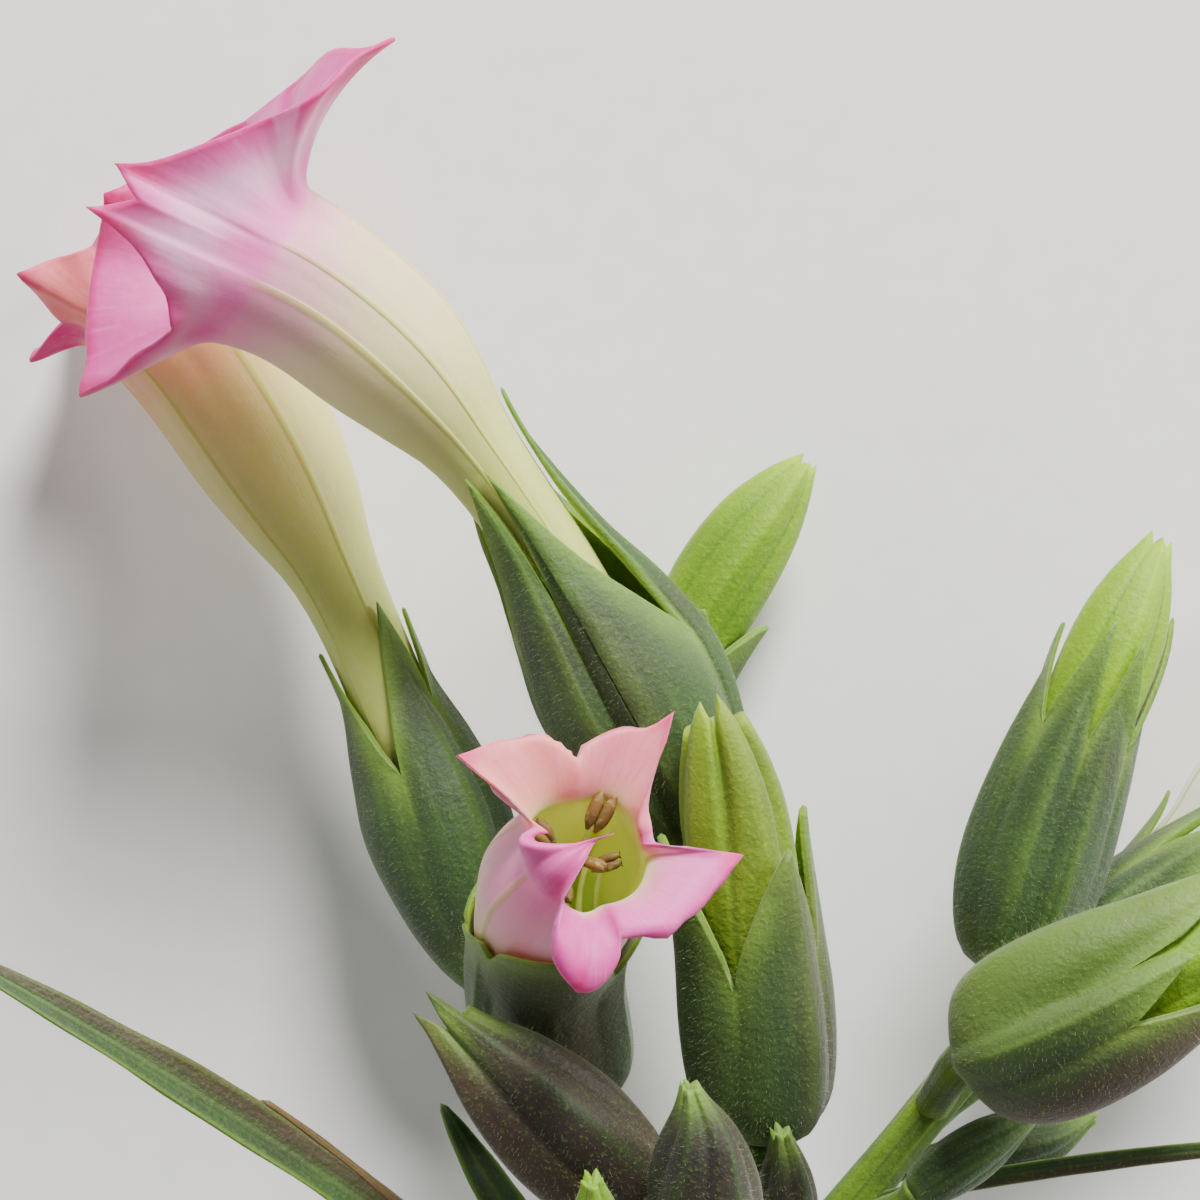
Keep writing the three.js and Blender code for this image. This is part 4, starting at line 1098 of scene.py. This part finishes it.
# Stamens of each open flower: the share of the axis that they start from, the ring's radius and how far
# back from the throat their heads stand. A thread is its turn, reach, forward place and anther size.
STAMENS = {
    "small_flower": {"from": 0.56, "ring": 3.6, "back": 0.0, "threads": [
        (120, 2.4, -0.6, 1.3), (205, 2.2, -0.8, 1.1), (15, 0.4, -0.8, 1.0), (60, 1.7, -2.4, 0.9),
        (300, 1.4, -2.6, 0.9)]},
    "upper_flower": {"from": 0.62, "ring": 3.2, "back": 2.5},
    "left_flower": {"from": 0.62, "ring": 3.2, "back": 2.5},
    "right_flower": {"from": 0.62, "ring": 2.7, "back": 2.5},
}
THREAD_RADII = (0.22, 0.14)
STYLE_RADII = (0.26, 0.2)
STYLE_TURN = 200
STYLE_DEPTH = 3.2
STAMEN_THREADS = [(20, 0.6, -0.4, 0.8), (92, 1.6, 0.6, 0.9), (164, 1.7, -0.6, 0.8), (236, 1.9, 0.4, 0.9),
                  (308, 1.5, -0.8, 0.8)]
THREAD_FORM = {"relief": 0.5, "rows": 16, "sides": 10, "hair": 0.0}


def bloom_axis(spec):
    return Axis(*spec["axis"])


def stalk_axis(spec):
    """A stalk's line: from inside the stem to just inside a bloom's foot, square to it."""
    start, lead = spec["stalk"][:2]
    axis = bloom_axis(spec)
    down = -axis.direction(0)
    foot = axis.point(0)
    return Axis(start, foot + down * lead, foot - down * JOINT_DEPTH)


# Each green skin: the colours of its body, hollows, keels, margins and cast, then its own measures
GREEN_SKINS = {
    "leaf": (("leaf", "leaf_dark", "leaf_light", "leaf_light", "young"), {}),
    "fresh": (("leaf_light", "leaf", "bud_yellow", "bud_yellow", "leaf"), {}),
    "young": (("young", "young_dark", "leaf", "leaf_light", "young_brown"),
              {"shaded": 0.8, "margin_share": 0.9, "keel_share": 0.4}),
    "bud": (("bud_yellow", "bud_green", "bud_pale", "bud_pale", "bud_green"),
            {"shaded": 0.4, "margin_share": 0.6, "keel_share": 0.2, "streaks": 0.3}),
    "stem": (("stem", "leaf", "bud_yellow", "bud_yellow", "bud_green"),
             {"shaded": 0.7, "margin_share": 0.0, "keel_share": 0.35}),
    "dry": (("dry", "young_dark", "leaf_light", "dry", "young_brown"), {}),
}


def green_skin(kind):
    """A green finish, made once and then shared."""
    name = f"{kind}_skin"
    if name in bpy.data.materials:
        return bpy.data.materials[name]
    shades, measures = GREEN_SKINS[kind]
    # Besides these: the tone of the side with painted shade, and the pale tone of the painted light inside a
    # cup.
    keys = dict(zip(("body", "dark", "light", "margin", "cast"), shades), dusk="young_brown", lit="bud_pale")
    colours = bpy.context.scene.cutting_colours
    tones = {part: tuple(getattr(colours, key)) for part, key in keys.items()}
    return sepal_finish(name, tones, **measures)


# Operators, one for each group of like pieces

class CUTTING_OT_stems(bpy.types.Operator):
    """Make the stem, the branch and every stalk"""
    bl_idname = "cutting.stems"
    bl_label = "Stems and stalks"

    def execute(self, context):
        relief = context.scene.cutting_sizes.relief
        finish = green_skin("stem")
        stem = round_limb(STEM_AXIS, STEM_RADII, relief, SEEDS["stem"], STEM_RINGS)
        branch = round_limb(BRANCH_AXIS, BRANCH_RADII, relief, SEEDS["branch"], BRANCH_RINGS)
        grow_piece("stem_skin_main", [stem], finish, "main_stem")
        grow_piece("stem_skin_branch", [branch], finish, "right_branch")
        blooms = {**FLOWERS, **BUDS, **YOUNG_BUDS}
        for seed, (name, spec) in enumerate(blooms.items(), SEEDS["stalk"]):
            body = round_limb(stalk_axis(spec), spec["stalk"][2], relief, seed, STALK_RINGS, STALK_FLARE)
            grow_piece(f"{name}_stalk_skin", [body], finish, f"{name}_stalk")
        return {"FINISHED"}


class CUTTING_OT_calyxes(bpy.types.Operator):
    """Make the calyx of every flower and bud"""
    bl_idname = "cutting.calyxes"
    bl_label = "Calyxes"

    def execute(self, context):
        sizes = context.scene.cutting_sizes
        leaf = green_skin("leaf")
        for seed, (name, spec) in enumerate({**FLOWERS, **BUDS}.items(), SEEDS["calyx"]):
            corolla = spec["corolla"]

            def room(t, corolla=corolla):
                fold = corolla.get("pleat", corolla.get("rib", 0))
                return np.where(t < corolla["from"], 0, smooth(corolla["radius"], t) * (1 + fold * t))

            skin = sizes.sepal_skin / MM
            body = calyx_cup(bloom_axis(spec), spec["calyx"], room, skin, sizes.relief, seed)
            grow_piece(f"{name}_calyx_skin", [body], leaf, f"{name}_calyx")
        return {"FINISHED"}


# Each corolla's colours outside and inside, from foot to rim, and how strong its streaks are
PETAL_LOOKS = {
    "upper_flower": (
        [(0.1, "base"), (0.24, "base"), (0.34, "cream"), (0.4, "cream"), (0.46, "blush"), (0.54, "pink"),
         (0.66, "pink"), (0.78, "white"), (0.88, "pink"), (0.98, "rose")],
        [(0.1, "throat"), (0.42, "throat"), (0.5, "white"), (0.75, "pink"), (0.97, "rose")], 0.2),
    "left_flower": (
        [(0.1, "base"), (0.24, "base"), (0.32, "tan"), (0.41, "tan"), (0.47, "salmon"), (0.6, "salmon"),
         (0.7, "rose"), (0.92, "rose")],
        [(0.1, "throat"), (0.42, "throat"), (0.52, "salmon"), (0.7, "rose"), (0.92, "deep")], 0.4),
    "small_flower": (
        [(0.1, "base"), (0.26, "base"), (0.33, "cream"), (0.42, "blush"), (0.5, "pink"), (0.76, "pink"),
         (0.94, "rose")],
        [(0.1, "throat"), (0.5, "throat"), (0.55, "cream"), (0.62, "blush"), (0.76, "pink"),
         (0.97, "rose")], 0.25),
    "right_flower": (
        [(0.1, "base"), (0.2, "base"), (0.3, "pale"), (0.6, "pale"), (0.8, "white"), (0.96, "pink")],
        [(0.1, "throat"), (0.45, "throat"), (0.55, "white"), (0.8, "pink"), (0.96, "rose")], 0.3),
}


class CUTTING_OT_petals(bpy.types.Operator):
    """Make the four open corollas"""
    bl_idname = "cutting.petals"
    bl_label = "Open flowers"

    def execute(self, context):
        sizes = context.scene.cutting_sizes
        colours = context.scene.cutting_colours
        tones = {key.removeprefix("petal_"): tuple(getattr(colours, key))
                 for key in colours.bl_rna.properties.keys() if key.startswith("petal_")}
        tones["throat"] = tuple(colours.throat)
        skin = sizes.petal_skin / MM
        for seed, (name, spec) in enumerate(FLOWERS.items(), SEEDS["corolla"]):
            finish = petal_finish(f"{name}_petal", tones, *PETAL_LOOKS[name])
            body = open_corolla(bloom_axis(spec), spec["corolla"], skin, sizes.relief, seed)
            grow_piece(f"{name}_petals", [body], finish, f"{name}_corolla")
        return {"FINISHED"}


class CUTTING_OT_buds(bpy.types.Operator):
    """Make the folded petals of the buds, and the young closed buds"""
    bl_idname = "cutting.buds"
    bl_label = "Buds"

    def execute(self, context):
        relief = context.scene.cutting_sizes.relief
        folded = green_skin("bud")
        for seed, (name, spec) in enumerate(BUDS.items(), SEEDS["bud"]):
            body = closed_bud(bloom_axis(spec), spec["corolla"], relief, seed)
            grow_piece(f"{name}_petals", [body], folded, f"{name}_corolla")
        for seed, (name, spec) in enumerate(YOUNG_BUDS.items(), SEEDS["young_bud"]):
            shape = {"from": 0, **spec["body"]}
            body = closed_bud(bloom_axis(spec), shape, relief, seed, hair=1.0)
            slot = "calyx" if "green" in spec else "young_bud"
            grow_piece(f"{name}_skin", [body], green_skin(spec.get("green", "young")), name)
        return {"FINISHED"}


class CUTTING_OT_bracts(bpy.types.Operator):
    """Make the narrow bract leaves"""
    bl_idname = "cutting.bracts"
    bl_label = "Bracts"

    def execute(self, context):
        relief = context.scene.cutting_sizes.relief
        for seed, (name, shape) in enumerate(BRACTS.items(), SEEDS["bract"]):
            body = blade(Axis(*shape["axis"]), shape, relief, seed)
            grow_piece(f"{name}_skin", [body], green_skin(shape["tone"]), name)
        return {"FINISHED"}


class CUTTING_OT_stamens(bpy.types.Operator):
    """Make the stamens and the pistil inside each open flower"""
    bl_idname = "cutting.stamens"
    bl_label = "Stamens"

    def execute(self, context):
        colours = context.scene.cutting_colours
        tones = {key: tuple(getattr(colours, key))
                 for key in ("filament", "throat", "bud_pale", "anther", "young_brown")}
        thread = thread_finish("stamen_thread", tones["filament"], tones["throat"], tones["bud_pale"])
        pod = thread_finish("anther_skin", tones["anther"], tones["young_brown"], tones["throat"])
        for seed, (name, shape) in enumerate(STAMENS.items(), SEEDS["stamens"]):
            axis = bloom_axis(FLOWERS[name])
            threads, pods = self.threads_of(axis, shape, seed)
            node = "small_flower_stamens" if name == "small_flower" else None
            grow_piece(f"{name}_anthers", pods, pod, node)
            grow_piece(f"{name}_threads", threads, thread)
        return {"FINISHED"}

    def threads_of(self, axis, shape, seed):
        """Five threads with two-lobed anthers, and a style with its round stigma."""
        threads, pods = [], []
        start = shape["from"]
        for index, (turn, reach, forward, size) in enumerate(shape.get("threads", STAMEN_THREADS)):
            forward = forward - shape["back"]
            foot = axis.place(start, turn, shape["ring"] * 0.9, 0.2)
            bend = axis.place((start + 1) / 2, turn, reach + 0.4)
            head = axis.place(1, turn, reach, forward)
            line = Axis(foot, bend, head)
            threads.append(round_limb(line, THREAD_RADII, seed=seed + index, **THREAD_FORM))
            for side in (-1, 1):
                low = axis.place(1, turn + side * 7, reach - 0.5, forward - 0.4)
                high = axis.place(1, turn + side * 5, reach + size, forward + size * 0.9)
                middle = axis.place(1, turn + side * 9, reach + size * 0.3, forward + size * 0.5)
                radius = [(0, 0.1), (0.25, size * 0.26), (0.75, size * 0.26), (1, 0.08)]
                pods.append(self.knob(Axis(low, middle, high), radius, 3, 0.97, 0.0, seed + index, 6))
        top = -STYLE_DEPTH - shape["back"]
        head = axis.place(1, STYLE_TURN, 0.5, top + 0.2)
        style = Axis(axis.point(start), axis.point((start + 1) / 2), head)
        threads.append(round_limb(style, STYLE_RADII, seed=seed + 7, **THREAD_FORM))
        stigma = Axis(*(axis.place(1, STYLE_TURN, reach, top + lift)
                        for reach, lift in ((0.5, 0), (0.58, 0.4), (0.5, 0.8))))
        radius = [(0, 0.2), (0.4, 0.6), (0.8, 0.55), (1, 0.2)]
        threads.append(self.knob(stigma, radius, 2, 0.95, 0.12, seed + 8, 10))
        return threads, pods

    def knob(self, axis, radius, lobes, gap, rib, seed, steps):
        """A small closed body without hairs."""
        shape = {"radius": radius, "from": 0, "gap": gap, "rib": rib, "tips": even_tips(0, [1] * lobes),
                 "twist": 0, "rows": 18}
        return closed_bud(axis, shape, 1.0, seed, steps=steps, hair=0.0)


# Hairs, grown by a node tree over the skins of one bloom at a time

LARGE_YOUNG = ("striped_bud", "front_bud")
HAIR_GROUPS = {
    **{name: (f"{name}_petals", f"{name}_calyx_skin", f"{name}_stalk_skin") for name in (*FLOWERS, *BUDS)},
    "large_young_buds": tuple(f"{name}_{part}" for name in LARGE_YOUNG for part in ("skin", "stalk_skin")),
    "small_young_buds": tuple(f"{name}_{part}" for name in YOUNG_BUDS if name not in LARGE_YOUNG
                              for part in ("skin", "stalk_skin")),
    "stems": ("stem_skin_main", "stem_skin_branch") + tuple(f"{name}_skin" for name in BRACTS),
}
HAIR_SETTINGS = {"Length": "hair_length", "Radius": "hair_radius", "Bead": "bead_radius",
                 "Spacing": "hair_spacing"}
# Hairs tried in one square of the spacing, and their least distance as a share of it
HAIRS_PER_SQUARE = 1.6
LEAST_SPACING = 0.55
# How far a hair leans and turns, in radians, and its length as a share of the mean one
HAIR_LEAN = 0.25
HAIR_TURN = 3.1
SHORT_HAIR, LONG_HAIR = 0.45, 1.35
THIN_COVER = 0.45


class HairTree(NodeMaker):
    """A geometry node tree under construction, with named inputs."""

    def __init__(self, name):
        super().__init__(bpy.data.node_groups.new(name, "GeometryNodeTree"))
        for way in ("INPUT", "OUTPUT"):
            self.tree.interface.new_socket("Geometry", in_out=way, socket_type="NodeSocketGeometry")
        self.inputs = {}

    def add_input(self, name, kind, value=None):
        socket = self.tree.interface.new_socket(name, in_out="INPUT", socket_type=kind)
        if value is not None:
            socket.default_value = value
        self.inputs[name] = socket.identifier


def hair_tree(sizes):
    """Scatters hairs, each a three-sided spike with a small bead, where the hair attribute is above 0."""
    tree = HairTree("hairs_over_skin")
    for name, key in HAIR_SETTINGS.items():
        tree.add_input(name, "NodeSocketFloat", getattr(sizes, key))
    tree.add_input("Seed", "NodeSocketInt", 1)
    tree.add_input("Finish", "NodeSocketMaterial")
    given = {socket.name: Value(tree, socket) for socket in tree.node("NodeGroupInput").outputs}
    seed, spacing, length = given["Seed"], given["Spacing"], given["Length"]
    cover = tree.output(0, "GeometryNodeInputNamedAttribute", {"data_type": "FLOAT"}, {"Name": "hair"})
    density = tree.math("DIVIDE", HAIRS_PER_SQUARE, spacing * spacing)
    points = tree.node("GeometryNodeDistributePointsOnFaces", {"distribute_method": "POISSON"}, {
        "Mesh": given["Geometry"], "Distance Min": spacing * LEAST_SPACING, "Density Max": density,
        "Density Factor": cover, "Seed": seed}).outputs
    spike = tree.output("Mesh", "GeometryNodeMeshCone", {"fill_type": "NONE"}, {
        "Vertices": 3, "Radius Bottom": given["Radius"], "Depth": length, "Radius Top": 0.0})
    bead = tree.output(0, "GeometryNodeMeshUVSphere", inputs={
        "Segments": 4, "Rings": 2, "Radius": given["Bead"]})
    top = tree.output(0, "ShaderNodeCombineXYZ", inputs={"Z": length})
    raised = tree.output(0, "GeometryNodeTransform", inputs={"Geometry": bead, "Translation": top})
    hair = tree.node("GeometryNodeJoinGeometry")
    for part in (spike, raised):
        tree.tree.links.new(part.socket, hair.inputs[0])
    lean = tree.output(0, "FunctionNodeRandomValue", {"data_type": "FLOAT_VECTOR"}, {
        0: (-HAIR_LEAN, -HAIR_LEAN, -HAIR_TURN), 1: (HAIR_LEAN, HAIR_LEAN, HAIR_TURN), "Seed": seed})
    turned = tree.output(0, "FunctionNodeRotateRotation", {"rotation_space": "LOCAL"}, {
        "Rotation": Value(tree, points["Rotation"]), "Rotate By": lean})
    vary = tree.output(1, "FunctionNodeRandomValue", {"data_type": "FLOAT"}, {
        2: SHORT_HAIR, 3: LONG_HAIR, "Seed": seed})
    short = tree.math("MULTIPLY_ADD", cover, 1 - THIN_COVER, THIN_COVER)
    placed = tree.output(0, "GeometryNodeInstanceOnPoints", inputs={
        "Points": Value(tree, points["Points"]), "Instance": Value(tree, hair.outputs[0]),
        "Rotation": turned, "Scale": vary * short})
    real = tree.output(0, "GeometryNodeRealizeInstances", inputs={0: placed})
    dressed = tree.output(0, "GeometryNodeSetMaterial", inputs={
        "Geometry": real, "Material": given["Finish"]})
    tree.node("NodeGroupOutput", inputs={0: dressed})
    return tree


class CUTTING_OT_hairs(bpy.types.Operator):
    """Grow short glandular hairs over every skin"""
    bl_idname = "cutting.hairs"
    bl_label = "Hairs"

    def execute(self, context):
        sizes = context.scene.cutting_sizes
        finish = hair_finish("hair_glass", tuple(context.scene.cutting_colours.hair))
        tree = hair_tree(sizes)
        for seed, (name, skins) in enumerate(HAIR_GROUPS.items(), SEEDS["hairs"]):
            host = self.join_skins(f"{name}_hair_host", skins)
            grown = host.modifiers.new("hairs", "NODES")
            grown.node_group = tree.tree
            settings = {name: getattr(sizes, key) for name, key in HAIR_SETTINGS.items()}
            for key, value in {**settings, "Seed": seed, "Finish": finish}.items():
                grown[tree.inputs[key]] = value
            evaluated = host.evaluated_get(context.evaluated_depsgraph_get())
            mesh = bpy.data.meshes.new_from_object(evaluated)
            mesh.name = f"{name}_hairs"
            host.modifiers.remove(grown)
            bpy.data.objects.remove(host)
            show_piece(f"{name}_hairs", mesh)
        return {"FINISHED"}

    def join_skins(self, name, skins):
        """A scratch mesh that joins the skins of one bloom and keeps their hair values."""
        places, faces, hair = [], [], []
        start = 0
        for skin in skins:
            skin_places, skin_faces, skin_hair = SURFACES[skin]
            places.append(skin_places)
            faces += [[corner + start for corner in face] for face in skin_faces]
            hair.append(skin_hair)
            start += len(skin_places)
        mesh = bpy.data.meshes.new(name)
        mesh.from_pydata(np.concatenate(places).tolist(), [], faces)
        mesh.attributes.new("hair", "FLOAT", "POINT").data.foreach_set("value", np.concatenate(hair))
        host = bpy.data.objects.new(name, mesh)
        bpy.context.scene.collection.objects.link(host)
        return host


# Stage

CAMERA_PLACE = (-3.0, 69.0)
LENS = 135.0
SENSOR = 36.0
NEAR_CLIP = 0.01
FLOOR_DROP = 0.00005
SKY_COLOUR = (0.93, 0.96, 1, 1)
# Each light: its setting, the width of its disk, its place and what it is aimed at
LIGHTS = {
    "key_light": ("key_power", 0.35, (0.18, 0.75, 0.62), (0, 0.01, 0.02)),
    "fill_light": ("fill_power", 0.9, (-0.8, -0.35, 0.7), (0, 0, 0.02)),
    "rim_light": ("rim_power", 0.3, (0.75, 0.35, 0.28), (0, 0.01, 0.02)),
}


class CUTTING_OT_stage(bpy.types.Operator):
    """Set the floor, the soft lights and the camera"""
    bl_idname = "cutting.stage"
    bl_label = "Stage"

    def execute(self, context):
        stage = context.scene.cutting_stage
        half = stage.floor_size / 2
        sides = ((-half, -half), (half, -half), (half, half), (-half, half))
        mesh = bpy.data.meshes.new("floor")
        mesh.from_pydata([(x, y, -FLOOR_DROP) for x, y in sides], [], [(0, 1, 2, 3)])
        mesh.materials.append(floor_finish("floor_paper", tuple(context.scene.cutting_colours.floor)))
        floor = bpy.data.objects.new("floor", mesh)
        context.scene.collection.objects.link(floor)
        for name, (setting, *rest) in LIGHTS.items():
            self.add_light(name, getattr(stage, setting), *rest)
        self.add_camera(context, stage.camera_height)
        self.add_sky(context, stage.sky)
        return {"FINISHED"}

    def add_light(self, name, power, size, place, target):
        light = bpy.data.lights.new(name, "AREA")
        light.shape = "DISK"
        light.size = size
        light.energy = power
        lamp = bpy.data.objects.new(name, light)
        lamp.location = place
        aim = Vector(target) - Vector(place)
        lamp.rotation_euler = aim.to_track_quat("-Z", "Y").to_euler()
        bpy.context.scene.collection.objects.link(lamp)

    def add_camera(self, context, height):
        """Looks straight down, as far over the sprig as the photograph was taken from."""
        lens = bpy.data.cameras.new("camera")
        lens.lens = LENS
        lens.sensor_width = SENSOR
        lens.clip_start = NEAR_CLIP
        camera = bpy.data.objects.new("camera", lens)
        x, y = ((place + shift) * MM for place, shift in zip(CAMERA_PLACE, SHIFT))
        camera.location = (x, y, height + SHIFT[2] * MM)
        context.scene.collection.objects.link(camera)
        context.scene.camera = camera

    def add_sky(self, context, strength):
        world = bpy.data.worlds.new("soft_sky")
        world.use_nodes = True
        background = world.node_tree.nodes["Background"]
        background.inputs["Color"].default_value = SKY_COLOUR
        background.inputs["Strength"].default_value = strength
        context.scene.world = world


class CUTTING_PT_panel(bpy.types.Panel):
    """Lists the steps of the cutting in the sidebar"""
    bl_idname = "CUTTING_PT_panel"
    bl_label = "Tobacco cutting"
    bl_space_type = "VIEW_3D"
    bl_region_type = "UI"
    bl_category = "Cutting"

    def draw(self, context):
        layout = self.layout
        for operator in OPERATORS:
            layout.operator(operator.bl_idname)
        for name in ("cutting_sizes", "cutting_colours", "cutting_stage"):
            settings = getattr(context.scene, name)
            box = layout.box()
            for key in settings.bl_rna.properties.keys():
                if key not in ("rna_type", "name"):
                    box.prop(settings, key)


SETTINGS = {"cutting_colours": CuttingColours, "cutting_sizes": CuttingSizes, "cutting_stage": StageSettings}
OPERATORS = (CUTTING_OT_stems, CUTTING_OT_calyxes, CUTTING_OT_petals, CUTTING_OT_buds, CUTTING_OT_bracts,
             CUTTING_OT_stamens, CUTTING_OT_hairs, CUTTING_OT_stage)


def register():
    for kind in (*SETTINGS.values(), *OPERATORS, CUTTING_PT_panel):
        bpy.utils.register_class(kind)
    for name, kind in SETTINGS.items():
        setattr(bpy.types.Scene, name, bpy.props.PointerProperty(type=kind))


def unregister():
    for name in SETTINGS:
        delattr(bpy.types.Scene, name)
    for kind in (CUTTING_PT_panel, *OPERATORS, *SETTINGS.values()):
        bpy.utils.unregister_class(kind)


def main():
    register()
    for kind in OPERATORS:
        getattr(bpy.ops.cutting, kind.bl_idname.removeprefix("cutting."))()


if __name__ == "__main__":
    main()
